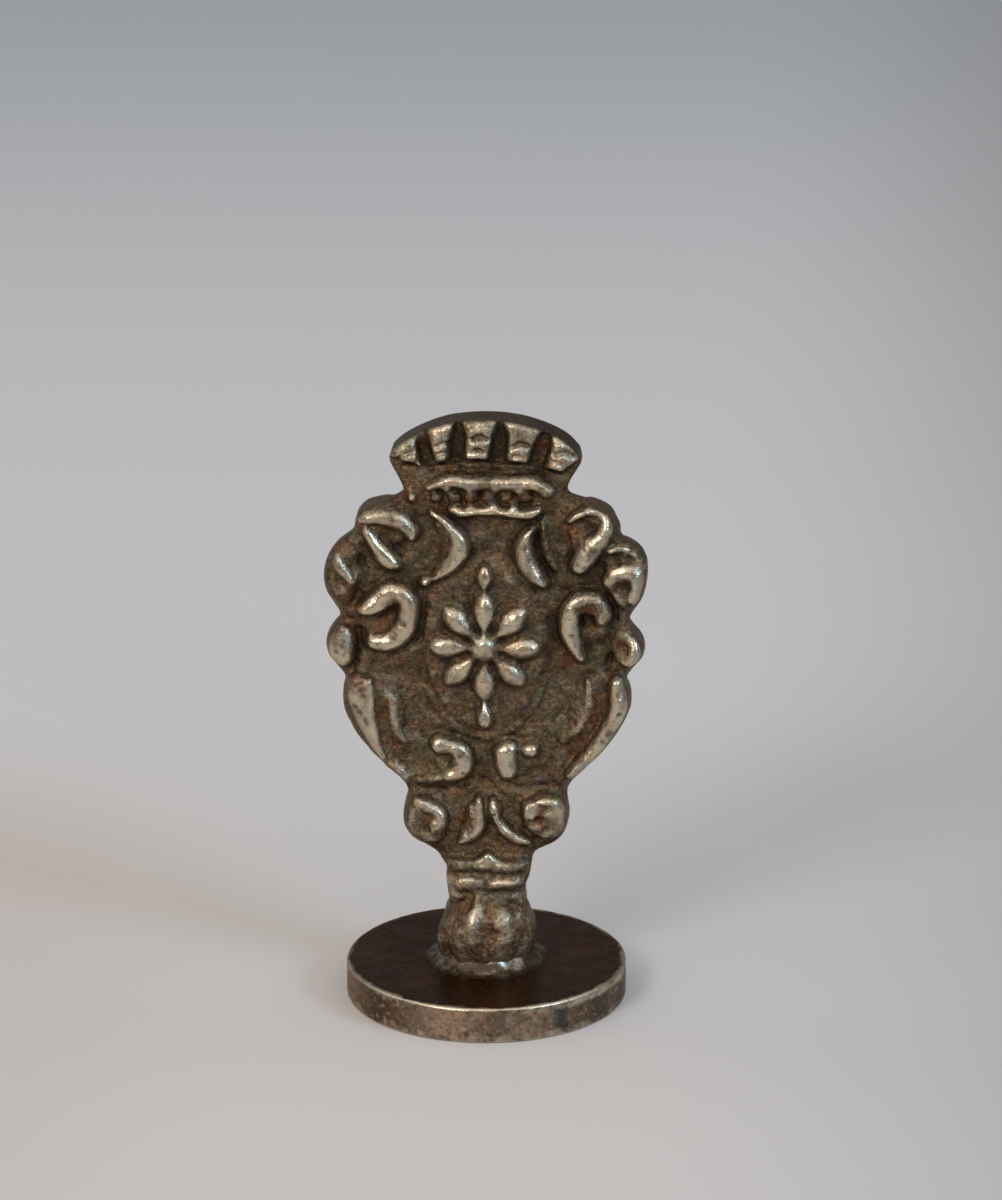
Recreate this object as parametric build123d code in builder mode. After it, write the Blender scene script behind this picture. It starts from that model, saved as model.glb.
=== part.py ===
from build123d import *
import os
from math import atan2, degrees, radians, tan

# Wax seal stamp: a cast cartouche handle under a crown, soldered upright on a round seal disc.
# Millimetres. The origin is the centre of the sealing face, +Z is up and the front faces -Y.

# Seal disc, with a sunk border and rosette on its sealing face
DISC_DIAMETER = 20.0
DISC_THICKNESS = 2.6
DISC_RIM_BEVEL = 0.2
INTAGLIO_DEPTH = 0.4
BORDER_INSET = 1.1
BORDER_WIDTH = 0.45
DEVICE_PETALS = 8
DEVICE_PETAL_ROOT = 1.9
DEVICE_PETAL_REACH = 6.4
DEVICE_PETAL_WIDTH = 1.5
DEVICE_EYE_RADIUS = 1.1

# Soldered joint: a spigot under the handle's foot stands in a blind socket in the disc
SPIGOT_DIAMETER = 3.0
SPIGOT_LENGTH = 1.2
SOCKET_CLEARANCE = 0.05
SOCKET_END_GAP = 0.1
SOLDER_FILM = 0.1
SOLDER_REACH = 0.75
SOLDER_CLIMB = 0.55

# Foot and neck of the casting
FOOT_RADIUS = 3.1
BELL_RADIUS = 3.5
BELL_RISE = 2.1
FOOT_HEIGHT = 4.6
NECK_REACH = 2.7
NECK_HALF_DEPTH = 1.75
NECK_CORNER = 0.9
GABLE_HALF_WIDTH = 2.0
GABLE_RISE = 2.2
GABLE_HEIGHT = 1.1
GABLE_DIP = 0.25

# Cartouche: each lobe has a height, a reach to its edge and a reach at the notch under it
NECK_HEIGHT = 3.3
VOLUTE_HEIGHT = 5.0
VOLUTE_REACH = 5.85
VOLUTE_FOOT_REACH = 3.25
LEAF_HEIGHT = 8.2
LEAF_REACH = 10.2
LEAF_FOOT_REACH = 5.65
CURL_HEIGHT = 4.3
CURL_REACH = 11.15
CURL_FOOT_REACH = 9.95
SCROLL_HEIGHT = 6.3
SCROLL_REACH = 11.35
SCROLL_FOOT_REACH = 10.2
SHOULDER_HEIGHT = 2.9
SHOULDER_REACH = 8.85
SHOULDER_FOOT_REACH = 9.4
CROWN_HEIGHT = 5.3
CROWN_REACH = 6.8
CROWN_FOOT_REACH = 5.7

# Depths are measured from the parting plane in the middle of the casting to the front
GROUND_DEPTH = 1.15
RELIEF_DEPTH = 2.0
RELIEF_ROOT = 0.45
MOULD_DRAFT = 8.0

# Shield, its rosette and the leaflets above and below it
SHIELD_HALF_WIDTH = 4.7
SHIELD_HALF_HEIGHT = 6.8
SHIELD_RISE = 2.65
SHIELD_DEPTH = 1.45
ROSETTE_PETALS = 8
PETAL_ROOT = 0.95
PETAL_LENGTH = 3.1
PETAL_WIDTH = 2.0
PETAL_SINK = 0.1
BOSS_RADIUS = 1.25
LEAFLET_GAP = 0.1
LEAFLET_LENGTH = 2.0
LEAFLET_WIDTH = 1.4

# Crown: merlons fan out from a centre far below it, over a circlet between two ribs
MERLONS = 5
FAN_DROP = 15.3
CROWN_SPRING = 2.55
CROWN_CORNER = 0.45
CROWN_DEPTH = 1.8
CROWN_RIM = 0.5
MERLON_FOOT_RISE = 2.7
MERLON_GAP = 0.95
MERLON_GAP_DEPTH = 0.6
MERLON_CUT = 0.28
MERLON_CUT_DEPTH = 0.2
MERLON_CUT_RISES = (3.35, 4.3)
CIRCLET_SHIFT = 0.4
CIRCLET_HALF_LENGTH = 3.9
CIRCLET_RISE = 1.1
CIRCLET_SAG = 0.4
CIRCLET_WIDTH = 0.95
CIRCLET_BASE_HALF_LENGTH = 3.1
CIRCLET_BASE_DROP = 1.15
CIRCLET_BASE_WIDTH = 0.5

# Where each lobe's edge bulges: shares of the lobe's height, and how far the edge stays in under the bulge
VOLUTE_UNDER_SHARE = 0.3
VOLUTE_UNDER_INSET = 0.5
VOLUTE_SIDE_SHARE = 0.65
LEAF_UNDER_SHARE = 0.4
LEAF_UNDER_INSET = 1.45
LEAF_SIDE_SHARE = 0.8
CURL_SIDE_SHARE = 0.45
SCROLL_SIDE_SHARE = 0.5
SHOULDER_SIDE_SHARE = 0.5
SHOULDER_TOP_SHARE = 0.8

# Levels above the foot's seat
SEAT_LEVEL = DISC_THICKNESS + SOLDER_FILM
NECK_LEVEL = FOOT_HEIGHT
VOLUTE_LEVEL = NECK_LEVEL + NECK_HEIGHT
LEAF_LEVEL = VOLUTE_LEVEL + VOLUTE_HEIGHT
CURL_LEVEL = LEAF_LEVEL + LEAF_HEIGHT
SCROLL_LEVEL = CURL_LEVEL + CURL_HEIGHT
SHOULDER_LEVEL = SCROLL_LEVEL + SCROLL_HEIGHT
CROWN_LEVEL = SHOULDER_LEVEL + SHOULDER_HEIGHT
CROWN_SPRING_LEVEL = CROWN_LEVEL + CROWN_SPRING
CROWN_TOP = CROWN_LEVEL + CROWN_HEIGHT
SHIELD_LEVEL = CURL_LEVEL + SHIELD_RISE
FAN_LEVEL = CROWN_LEVEL - FAN_DROP

# The relief's walls start just under the ground, and half of their draft widens them there
RELIEF_FOOT = GROUND_DEPTH - RELIEF_ROOT
DRAFT_RUN = (RELIEF_DEPTH - RELIEF_FOOT) / 2 * tan(radians(MOULD_DRAFT))

# A point of the relief is (distance in from its lobe's edge, rise above its lobe's foot)
LOBES = {
    "neck": (NECK_REACH, NECK_LEVEL),
    "volute": (VOLUTE_REACH, VOLUTE_LEVEL),
    "leaf": (LEAF_REACH, LEAF_LEVEL),
    "curl": (CURL_REACH, CURL_LEVEL),
    "scroll": (SCROLL_REACH, SCROLL_LEVEL),
    "shoulder": (SHOULDER_REACH, SHOULDER_LEVEL),
}
LEFT = -1
RIGHT = 1

# Scrolls with blunt ends: side, lobe, width, then the start, middle and end of the centreline
SCROLLS = {
    "left_brow": (LEFT, "shoulder", 0.85, (0.65, 1.05), (1.75, 1.7), (3.95, 0.35)),
    "left_ear": (LEFT, "scroll", 0.7, (0.6, 2.55), (1.25, 4.35), (2.05, 2.95)),
    "left_hook_start": (LEFT, "scroll", 0.95, (2.85, 0.9), (3.8, 1.95), (5.0, 2.25)),
    "left_hook": (LEFT, "scroll", 1.35, (4.3, 2.1), (6.0, 0.75), (3.6, -1.4)),
    "left_curl": (LEFT, "curl", 1.3, (0.95, 3.05), (0.75, 2.3), (0.95, 1.45)),
    "left_tendril": (LEFT, "leaf", 1.1, (7.2, 3.7), (8.75, 2.55), (7.3, 1.25)),
    "left_volute": (LEFT, "volute", 0.65, (1.2, 4.2), (2.9, 3.0), (1.95, 2.25)),
    "left_collar": (LEFT, "neck", 0.55, (1.05, 1.5), (1.75, 1.45), (2.45, 1.5)),
    "right_ear": (RIGHT, "scroll", 0.75, (2.05, 3.65), (0.75, 4.0), (0.8, 2.15)),
    "right_hook_start": (RIGHT, "scroll", 0.85, (3.05, 0.65), (4.05, 2.05), (5.15, 1.75)),
    "right_hook": (RIGHT, "scroll", 1.15, (5.1, 1.85), (5.4, 0.15), (4.55, -1.75)),
    "right_curl": (RIGHT, "curl", 0.7, (0.95, 3.85), (0.4, 2.75), (1.05, 1.55)),
    "right_tendril": (RIGHT, "leaf", 1.1, (8.1, 3.5), (8.9, 2.65), (8.6, 1.55)),
    "right_tendril_head": (RIGHT, "leaf", 0.9, (6.7, 3.3), (7.3, 3.45), (8.0, 3.35)),
    "right_volute": (RIGHT, "volute", 0.7, (2.7, 3.05), (1.5, 4.65), (0.75, 2.15)),
    "right_collar": (RIGHT, "neck", 0.55, (2.45, 1.45), (1.5, 1.4), (0.55, 1.5)),
}

# Blades with pointed ends: side, lobe, width, then the start, middle and end of the centreline
BLADES = {
    "left_leaflet": (LEFT, "shoulder", 1.25, (0.55, 0.55), (1.75, -0.95), (3.05, -2.05)),
    "left_crescent": (LEFT, "shoulder", 1.05, (5.1, 1.9), (7.3, -0.55), (5.15, -3.15)),
    "left_rib": (LEFT, "leaf", 1.9, (1.6, 8.65), (1.8, 4.75), (4.9, 0.65)),
    "right_tongue": (RIGHT, "shoulder", 1.2, (0.1, 1.15), (1.25, -0.55), (2.35, -2.15)),
    "right_crescent": (RIGHT, "shoulder", 1.25, (5.4, 0.75), (6.1, -1.35), (4.6, -3.45)),
    "right_rib": (RIGHT, "leaf", 1.2, (0.9, 8.65), (1.25, 5.25), (4.3, 1.55)),
}

# Thin ridges with pointed ends and straight walls, given as blades are
RIDGES = {
    "left_volute_rim": (LEFT, "volute", 0.7, (0.75, 4.35), (0.7, 2.35), (2.2, 0.7)),
    "left_tie": (LEFT, "volute", 0.7, (5.35, 4.55), (5.6, 2.85), (4.35, 1.2)),
    "right_brow": (RIGHT, "shoulder", 0.7, (2.65, 1.3), (0.75, 1.95), (0.5, 0.3)),
    "right_tie": (RIGHT, "volute", 0.6, (5.2, 3.85), (4.7, 2.15), (2.75, 1.35)),
}

# Beads: side, lobe, radius and centre
BEADS = {
    "left_rib_head": (LEFT, "leaf", 1.05, (1.75, 7.6)),
    "right_rib_head": (RIGHT, "leaf", 0.65, (0.95, 7.9)),
}


def front(depth):
    """A sketch plane in front of the parting plane, with its origin at the foot's seat."""
    return Plane(origin=(0, -depth, SEAT_LEVEL), x_dir=(1, 0, 0), z_dir=(0, -1, 0))


def placed(side, lobe, points):
    """Where points of the relief lie on the cartouche."""
    reach, level = LOBES[lobe]
    return [Vector(side * (reach - inset), level + rise) for inset, rise in points]


def polar(radius, turn):
    """A step of a given length, turned from straight up."""
    return Vector(0, radius).rotate(Axis.Z, turn)


def raise_section(face, draft=0):
    """Raises a sketch from just under the ground to the crest of the relief."""
    extrude(face, amount=RELIEF_DEPTH - RELIEF_FOOT, taper=draft)


def raise_scroll(width, start, middle, end):
    """Raises a blunt-ended ribbon along an arc."""
    with BuildLine(mode=Mode.PRIVATE):
        arc = ThreePointArc(start, middle, end)
    route = (arc @ 0, arc @ 0.5, arc @ 1)
    outward = [(point - arc.arc_center).normalized() * (width / 2) for point in route]
    outer = [point + step for point, step in zip(route, outward)]
    inner = [point - step for point, step in zip(route, outward)]
    with BuildSketch(front(RELIEF_FOOT)) as section:
        with BuildLine():
            ThreePointArc(*outer)
            Line(outer[2], inner[2])
            ThreePointArc(*reversed(inner))
            Line(inner[0], outer[0])
        make_face()
    raise_section(section.sketch)


def blade(width, start, middle, end):
    """A leaf or crescent between two arcs that meet at its tips."""
    half_width = (end - start).normalized().rotate(Axis.Z, 90) * (width / 2)
    with BuildSketch(front(RELIEF_FOOT)) as section:
        with BuildLine():
            ThreePointArc(start, middle + half_width, end)
            ThreePointArc(end, middle - half_width, start)
        make_face()
    return section.sketch


def raise_blade(width, *centreline):
    """Raises a blade with drafted walls."""
    raise_section(blade(width + 2 * DRAFT_RUN, *centreline), MOULD_DRAFT)


def raise_ridge(width, *centreline):
    """Raises a thin blade with straight walls."""
    raise_section(blade(width, *centreline))


def raise_bead(radius, centre):
    """Raises a round bead."""
    with BuildSketch(front(RELIEF_FOOT)) as section:
        with Locations(centre):
            Circle(radius)
    raise_section(section.sketch)


def raise_petal(width, root, tip):
    """Raises a straight-sided petal on the shield, with four facets that meet at its crest."""
    middle = (root + tip) / 2
    half_width = (tip - root).normalized().rotate(Axis.Z, 90) * (width / 2)
    with BuildSketch(front(SHIELD_DEPTH - PETAL_SINK)) as petal:
        with BuildLine():
            Polyline(root, middle + half_width, tip, middle - half_width, close=True)
        make_face()
    crest = front(RELIEF_DEPTH).from_local_coords(middle)
    loft([petal.sketch, Vertex(crest.X, crest.Y, crest.Z)], ruled=True)


# Outline of the casting from the neck up, at the parting plane
with BuildSketch(front(0)) as outline:
    with BuildLine():
        neck_foot = (NECK_REACH, NECK_LEVEL)
        volute_foot = (VOLUTE_FOOT_REACH, VOLUTE_LEVEL)
        volute_under = (VOLUTE_REACH - VOLUTE_UNDER_INSET, VOLUTE_LEVEL + VOLUTE_UNDER_SHARE * VOLUTE_HEIGHT)
        volute_side = (VOLUTE_REACH, VOLUTE_LEVEL + VOLUTE_SIDE_SHARE * VOLUTE_HEIGHT)
        leaf_foot = (LEAF_FOOT_REACH, LEAF_LEVEL)
        leaf_under = (LEAF_REACH - LEAF_UNDER_INSET, LEAF_LEVEL + LEAF_UNDER_SHARE * LEAF_HEIGHT)
        leaf_side = (LEAF_REACH, LEAF_LEVEL + LEAF_SIDE_SHARE * LEAF_HEIGHT)
        curl_foot = (CURL_FOOT_REACH, CURL_LEVEL)
        curl_side = (CURL_REACH, CURL_LEVEL + CURL_SIDE_SHARE * CURL_HEIGHT)
        scroll_foot = (SCROLL_FOOT_REACH, SCROLL_LEVEL)
        scroll_side = (SCROLL_REACH, SCROLL_LEVEL + SCROLL_SIDE_SHARE * SCROLL_HEIGHT)
        shoulder_foot = (SHOULDER_FOOT_REACH, SHOULDER_LEVEL)
        shoulder_side = (SHOULDER_REACH, SHOULDER_LEVEL + SHOULDER_SIDE_SHARE * SHOULDER_HEIGHT)
        shoulder_top_reach = (SHOULDER_REACH + CROWN_FOOT_REACH) / 2
        shoulder_top = (shoulder_top_reach, SHOULDER_LEVEL + SHOULDER_TOP_SHARE * SHOULDER_HEIGHT)
        crown_foot = (CROWN_FOOT_REACH, CROWN_LEVEL)
        crown_spring = (CROWN_REACH, CROWN_SPRING_LEVEL)
        Polyline((0, NECK_LEVEL), neck_foot, volute_foot)
        ThreePointArc(volute_foot, volute_under, volute_side)
        Line(volute_side, leaf_foot)
        ThreePointArc(leaf_foot, leaf_under, leaf_side)
        Line(leaf_side, curl_foot)
        ThreePointArc(curl_foot, curl_side, scroll_foot)
        ThreePointArc(scroll_foot, scroll_side, shoulder_foot)
        ThreePointArc(shoulder_foot, shoulder_side, shoulder_top)
        Polyline(shoulder_top, crown_foot, crown_spring)
        mirror(about=Plane.YZ)
        crown_arch = ThreePointArc(crown_spring, (0, CROWN_TOP), (-CROWN_REACH, CROWN_SPRING_LEVEL))
    make_face()
    crown_corners = outline.vertices().filter_by(lambda vertex: abs(vertex.Y - CROWN_SPRING_LEVEL) < 0.001)
    fillet(crown_corners, CROWN_CORNER)

# The crown's face above the circlet
with BuildSketch(front(0)) as crown_face:
    add(outline.sketch_local)
    with Locations((0, FAN_LEVEL)):
        Circle(FAN_DROP + MERLON_FOOT_RISE, mode=Mode.SUBTRACT)

# Foot of the casting: a bell from its seat up to the neck
with BuildPart() as foot:
    with BuildSketch(Plane.XZ):
        with BuildLine():
            seat_edge = (FOOT_RADIUS, SEAT_LEVEL)
            bell_side = (BELL_RADIUS, SEAT_LEVEL + BELL_RISE)
            bell_top = (NECK_REACH, SEAT_LEVEL + FOOT_HEIGHT)
            bell_crest = (0, SEAT_LEVEL + FOOT_HEIGHT + NECK_HEIGHT / 2)
            Polyline(bell_crest, (0, SEAT_LEVEL), seat_edge)
            Polyline(seat_edge, bell_side, bell_top, bell_crest)
        make_face()
    revolve(axis=Axis.Z)
    with BuildSketch(Plane.XY.offset(SEAT_LEVEL + FOOT_HEIGHT)):
        chamfer(Rectangle(2 * NECK_REACH, 2 * NECK_HALF_DEPTH).vertices(), NECK_CORNER)
    with BuildSketch(Plane.XY.offset(SEAT_LEVEL + FOOT_HEIGHT + NECK_HEIGHT)):
        chamfer(Rectangle(2 * VOLUTE_FOOT_REACH, 2 * NECK_HALF_DEPTH).vertices(), NECK_CORNER)
    loft(ruled=True)

# Cast handle: relief, ground, shield and crown on the front, the same on the back, foot and spigot
with BuildPart() as cast_handle:
    for side, lobe, width, *points in SCROLLS.values():
        raise_scroll(width, *placed(side, lobe, points))
    for side, lobe, width, *points in BLADES.values():
        raise_blade(width, *placed(side, lobe, points))
    for side, lobe, width, *points in RIDGES.values():
        raise_ridge(width, *placed(side, lobe, points))
    for side, lobe, radius, *points in BEADS.values():
        raise_bead(radius, *placed(side, lobe, points))
    extrude(outline.sketch, amount=RELIEF_DEPTH, mode=Mode.INTERSECT)
    extrude(outline.sketch, amount=GROUND_DEPTH)

    with BuildSketch(front(RELIEF_FOOT)) as gable:
        with BuildLine():
            gable_left = (-GABLE_HALF_WIDTH, NECK_LEVEL + GABLE_RISE)
            gable_right = (GABLE_HALF_WIDTH, NECK_LEVEL + GABLE_RISE)
            gable_top = (0, NECK_LEVEL + GABLE_RISE + GABLE_HEIGHT)
            gable_waist = GABLE_HEIGHT / 2 - GABLE_DIP
            Line(gable_left, gable_right)
            ThreePointArc(
                gable_right, (GABLE_HALF_WIDTH / 2, NECK_LEVEL + GABLE_RISE + gable_waist), gable_top
            )
            ThreePointArc(
                gable_top, (-GABLE_HALF_WIDTH / 2, NECK_LEVEL + GABLE_RISE + gable_waist), gable_left
            )
        make_face()
    raise_section(gable.sketch)

    with BuildSketch(front(0)):
        with Locations((0, SHIELD_LEVEL)):
            Ellipse(SHIELD_HALF_WIDTH, SHIELD_HALF_HEIGHT)
    extrude(amount=SHIELD_DEPTH)
    shield_centre = Vector(0, SHIELD_LEVEL)
    petal_reach = PETAL_ROOT + PETAL_LENGTH
    for petal in range(ROSETTE_PETALS):
        turn = petal * 360 / ROSETTE_PETALS
        petal_root = shield_centre + polar(PETAL_ROOT, turn)
        raise_petal(PETAL_WIDTH, petal_root, petal_root + polar(PETAL_LENGTH, turn))
    for turn in (0, 180):
        leaflet_root = shield_centre + polar(petal_reach + LEAFLET_GAP, turn)
        raise_petal(LEAFLET_WIDTH, leaflet_root, leaflet_root + polar(LEAFLET_LENGTH, turn))
    raise_bead(BOSS_RADIUS, shield_centre)

    extrude(crown_face.sketch, amount=CROWN_DEPTH)
    arch_centre = (0, CROWN_TOP - crown_arch.radius)
    arch_inside = crown_arch.radius - CROWN_RIM
    crown_half_angle = degrees(atan2(CROWN_REACH, FAN_DROP + CROWN_SPRING))
    merlon_pitch = 2 * crown_half_angle / MERLONS
    first_gap = 90 - crown_half_angle + merlon_pitch
    gap_spread = merlon_pitch * (MERLONS - 2)
    gap_length = 2 * (CROWN_HEIGHT - MERLON_FOOT_RISE + MERLON_GAP)
    with BuildSketch(front(CROWN_DEPTH)):
        with Locations((0, FAN_LEVEL)):
            with PolarLocations(FAN_DROP + CROWN_HEIGHT, MERLONS - 1, first_gap, gap_spread, endpoint=True):
                Rectangle(gap_length, MERLON_GAP)
        with Locations(arch_centre):
            Circle(arch_inside, mode=Mode.INTERSECT)
    extrude(amount=-MERLON_GAP_DEPTH, mode=Mode.SUBTRACT)
    for rise in MERLON_CUT_RISES:
        with BuildSketch(front(CROWN_DEPTH)):
            with Locations((0, FAN_LEVEL)):
                Circle(FAN_DROP + rise + MERLON_CUT / 2)
                Circle(FAN_DROP + rise - MERLON_CUT / 2, mode=Mode.SUBTRACT)
            with Locations(arch_centre):
                Circle(arch_inside, mode=Mode.INTERSECT)
        extrude(amount=-MERLON_CUT_DEPTH, mode=Mode.SUBTRACT)
    circlet_level = CROWN_LEVEL + CIRCLET_RISE
    raise_scroll(
        CIRCLET_WIDTH,
        (CIRCLET_SHIFT - CIRCLET_HALF_LENGTH, circlet_level - CIRCLET_SAG),
        (CIRCLET_SHIFT, circlet_level),
        (CIRCLET_SHIFT + CIRCLET_HALF_LENGTH, circlet_level - CIRCLET_SAG),
    )
    circlet_base = CROWN_LEVEL - CIRCLET_BASE_DROP
    raise_scroll(
        CIRCLET_BASE_WIDTH,
        (CIRCLET_SHIFT - CIRCLET_BASE_HALF_LENGTH, circlet_base + CIRCLET_SAG / 2),
        (CIRCLET_SHIFT, circlet_base),
        (CIRCLET_SHIFT + CIRCLET_BASE_HALF_LENGTH, circlet_base + CIRCLET_SAG / 2),
    )

    mirror(about=Plane.XZ)
    add(foot.part)
    with BuildSketch(Plane.XY.offset(SEAT_LEVEL)):
        Circle(SPIGOT_DIAMETER / 2)
    extrude(amount=-SPIGOT_LENGTH)

# Seal disc: rounded rims, a blind socket for the spigot and a sunk device on the sealing face
with BuildPart() as seal_disc:
    with BuildSketch():
        Circle(DISC_DIAMETER / 2)
    extrude(amount=DISC_THICKNESS)
    chamfer(seal_disc.edges().filter_by(GeomType.CIRCLE), DISC_RIM_BEVEL)
    with BuildSketch(Plane.XY.offset(DISC_THICKNESS)):
        Circle(SPIGOT_DIAMETER / 2 + SOCKET_CLEARANCE)
    extrude(amount=-(SPIGOT_LENGTH - SOLDER_FILM + SOCKET_END_GAP), mode=Mode.SUBTRACT)
    with BuildSketch():
        border_radius = DISC_DIAMETER / 2 - BORDER_INSET
        Circle(border_radius)
        Circle(border_radius - BORDER_WIDTH, mode=Mode.SUBTRACT)
        Circle(DEVICE_EYE_RADIUS)
        for petal in range(DEVICE_PETALS):
            turn = petal * 360 / DEVICE_PETALS
            petal_root = polar(DEVICE_PETAL_ROOT, turn)
            petal_tip = polar(DEVICE_PETAL_REACH, turn)
            petal_middle = (petal_root + petal_tip) / 2
            petal_side = polar(DEVICE_PETAL_WIDTH / 2, turn + 90)
            with BuildLine():
                petal_corners = (petal_middle + petal_side, petal_tip, petal_middle - petal_side)
                Polyline(petal_root, *petal_corners, close=True)
            make_face()
    extrude(amount=INTAGLIO_DEPTH, mode=Mode.SUBTRACT)

# Solder: a film under the foot and a bead round it
with BuildPart() as solder_joint:
    with BuildSketch(Plane.XZ):
        with BuildLine():
            bore = SPIGOT_DIAMETER / 2 + SOCKET_CLEARANCE
            bead_edge = (FOOT_RADIUS + SOLDER_REACH, DISC_THICKNESS)
            bead_top = (FOOT_RADIUS, SEAT_LEVEL + SOLDER_CLIMB)
            bore_top = (bore, SEAT_LEVEL + SOLDER_CLIMB)
            bore_foot = (bore, DISC_THICKNESS)
            Polyline(bore_top, bore_foot, bead_edge, bead_top, close=True)
        make_face()
    revolve(axis=Axis.Z)
    add(foot.part, mode=Mode.SUBTRACT)

os.makedirs("parts", exist_ok=True)
for name, piece in (("cast_handle", cast_handle), ("seal_disc", seal_disc), ("solder_joint", solder_joint)):
    piece.part.label = name
    export_step(piece.part, f"parts/{name}.step")
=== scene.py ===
"""Wax seal stamp: sculpted silver casting, worn disc and solder bead, in a plain studio."""
from math import cos, pi, radians, sin

import bpy
import numpy as np
from mathutils import Matrix, Vector
from numpy.lib.stride_tricks import sliding_window_view


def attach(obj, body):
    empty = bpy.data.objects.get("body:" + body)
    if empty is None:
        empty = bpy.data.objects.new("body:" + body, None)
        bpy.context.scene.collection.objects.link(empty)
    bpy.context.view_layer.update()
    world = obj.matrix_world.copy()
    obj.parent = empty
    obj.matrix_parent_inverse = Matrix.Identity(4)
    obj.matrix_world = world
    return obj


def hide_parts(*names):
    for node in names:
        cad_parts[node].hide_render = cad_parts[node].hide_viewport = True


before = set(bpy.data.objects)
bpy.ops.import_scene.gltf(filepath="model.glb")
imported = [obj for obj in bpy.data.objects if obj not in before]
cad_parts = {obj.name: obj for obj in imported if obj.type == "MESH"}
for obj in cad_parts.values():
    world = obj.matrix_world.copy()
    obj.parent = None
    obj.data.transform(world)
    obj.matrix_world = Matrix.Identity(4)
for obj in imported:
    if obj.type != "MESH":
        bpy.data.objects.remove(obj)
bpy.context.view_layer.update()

MM = 0.001
FAR = 1e3
TINY = 1e-9

# Grid of the casting; sizes are in millimetres unless a comment says otherwise
GRID_STEP = 0.165
GRID_LOW = (-11.9, -3.92, 2.3)
GRID_HIGH = (11.9, 3.92, 43.2)
NOISE_SIDE = 32
STROKE_STEPS = 9
OUTLINE_STEPS = 6
FOOT_STEPS = 8
SOLDER_STEPS = 3

# Plate: depths from its middle, and rounding of its edge
GROUND = 0.97
NECK_DEPTH = 1.75
NECK_TOP = 10.5
NECK_FADE = 0.25
EDGE_ROUND = 1.05
CROWN_ROUND = 0.3
CROWN_ROUND_FADE = (37.1, 38.4)
CROWN_LOW = 37.6

# Unevenness; three values are the height, grain size and seed of a noise
LUMP_SIZE = 1.7
LUMP_SEED = 11
GROUND_LUMP = 0.14
DOME_LUMP = 0.06
SLOT_LUMP = 0.1
WAVE = ((0.1, 1.3, 14),)
GRAIN = ((0.1, 0.9, 12), (0.075, 0.42, 13))
FOOT_BUMPS = ((0.2, 1.3, 21), (0.1, 0.55, 22))
DENTS = ((0.6, 1.6, 31), (0.4, 0.6, 32))
SOLDER_EDGE = ((0.2, 1.1, 41), (0.06, 0.45, 42))
SOLDER_LUMPS = ((0.12, 0.7, 43),)
BLOTCH = ((0.35, 1.1, 51),)
BLOTCH_BASE = 0.8

# Section of a raised stroke, and the ground next to it
STROKE_SPREAD = 0.305
STROKE_MIN = 0.04
STROKE_FULL = 2.0
STROKE_LOW_REACH = 1.6
WALL_RUN = 0.54
TOP_SWELL = 0.2
TOP_SWELL_START = 0.6
TOP_FADE = 0.2
TOP_SMOOTHING = 0.65
SKIRT_RISE = 0.22
SKIRT_WIDTH = 0.8
MOAT_DEPTH = 0.13
MOAT_WIDTH = 0.32
MOAT_SHIFT = 0.05
GROOVE_FADE = (0.3, -0.26)
PIT_DEPTH = 0.07
ARCH_DEPTH = 0.1
ARCH_FADE = 0.4

# Shield and its rosette
SHIELD_CENTRE = (0.0, 26.45)
SHIELD_HALF = (4.7, 6.8)
SHIELD_REACH = 5.4
SHIELD_DEPTH = 1.36
SHIELD_DOME = 0.12
SHIELD_FADE = (1.02, 0.84)
RIM_WIDTH = 0.3
RIM_HEIGHT = 0.24
RIM_FADE = (25.5, 22.5)
PETAL_TURNS = [radians(turn) for turn in range(0, 360, 45)]
PETAL_LEVEL = 2.12
PETAL_WALL = 0.62
PETAL_PROFILE = ((0.0, 0.3), (0.25, 0.7), (0.52, 1.0), (0.76, 0.74), (1.0, 0.1))
# Petals, and leaflets above and below them: root, tip and half width
PETAL = (0.95, 4.05, 1.03)
LEAFLET = (4.15, 6.1, 0.74)
LEAFLET_TURNS = (radians(90), radians(270))
BOSS_RADIUS = 1.22
BOSS_LEVEL = 2.35

# Crown: merlons fan out from a centre below it; their foot rises past an angle, by a rate per degree
FAN_CENTRE = 22.0
SLOT_FLOOR = 0.78
SLOT_CAP_FRONT = 0.2
SLOT_CAP_BACK = 0.75
MERLON_FOOT = 17.92
MERLON_LEFT = (14.2, 0.19)
MERLON_RIGHT = (17.2, 0.42)
MERLON_FADE = (15.5, 21.5)
CROWN_FOOT_FADE = (-0.25, -0.05)
CROWN_DEPTH = 1.82
CROWN_LEAN = 0.2
CROWN_FADE = 0.55
CROWN_WALL = 0.34
NICK_HALF = 0.1
NICK_DEPTH = 0.3
NICK_FADE = (0.16, -0.06)

# Foot
FOOT_LOW = 2.62
FOOT_HIGH = 8.2
FOOT_MARGIN = 1.0
FOOT_BLEND = 0.45
FOLD_FADE = (4.0, 5.2)

# Disc: rings of its mesh, rims worn and with a painted highlight, dents, lighter bands on the side and the
# device cut under it
DISC_RADIUS = 10.0
DISC_HEIGHT = 2.6
DISC_RIM = 0.24
DISC_EYE = 0.02
DISC_TURNS = 288
UNDER_ROWS = 50
RIM_ROWS = 7
SIDE_ROWS = 12
TOP_ROWS = 22
SIDE_DENT = 0.006
TOP_DENT = 0.03
RIM_WEAR_AND_SHEEN_LEVEL = 0.3
RIM_WEAR_AND_SHEEN_FADE = (2.2, 0.6)
BAND_LEFT = 0.26
BAND_RIGHT = 0.62
BAND_LOW = 0.46
BAND_TURN = (5.0, 30.0)
BAND_HIGH_FADE = (1.6, 2.2)
BAND_LOW_FADE = (0.9, 0.45)
BAND_EDGE = 0.5
BORDER_RADIUS = 8.675
BORDER_HALF = 0.225
EYE_RADIUS = 1.1
DEVICE_ROOT = 1.9
DEVICE_LENGTH = 4.5
DEVICE_WIDTH = 1.5
CUT_DEPTH = 0.38
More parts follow.
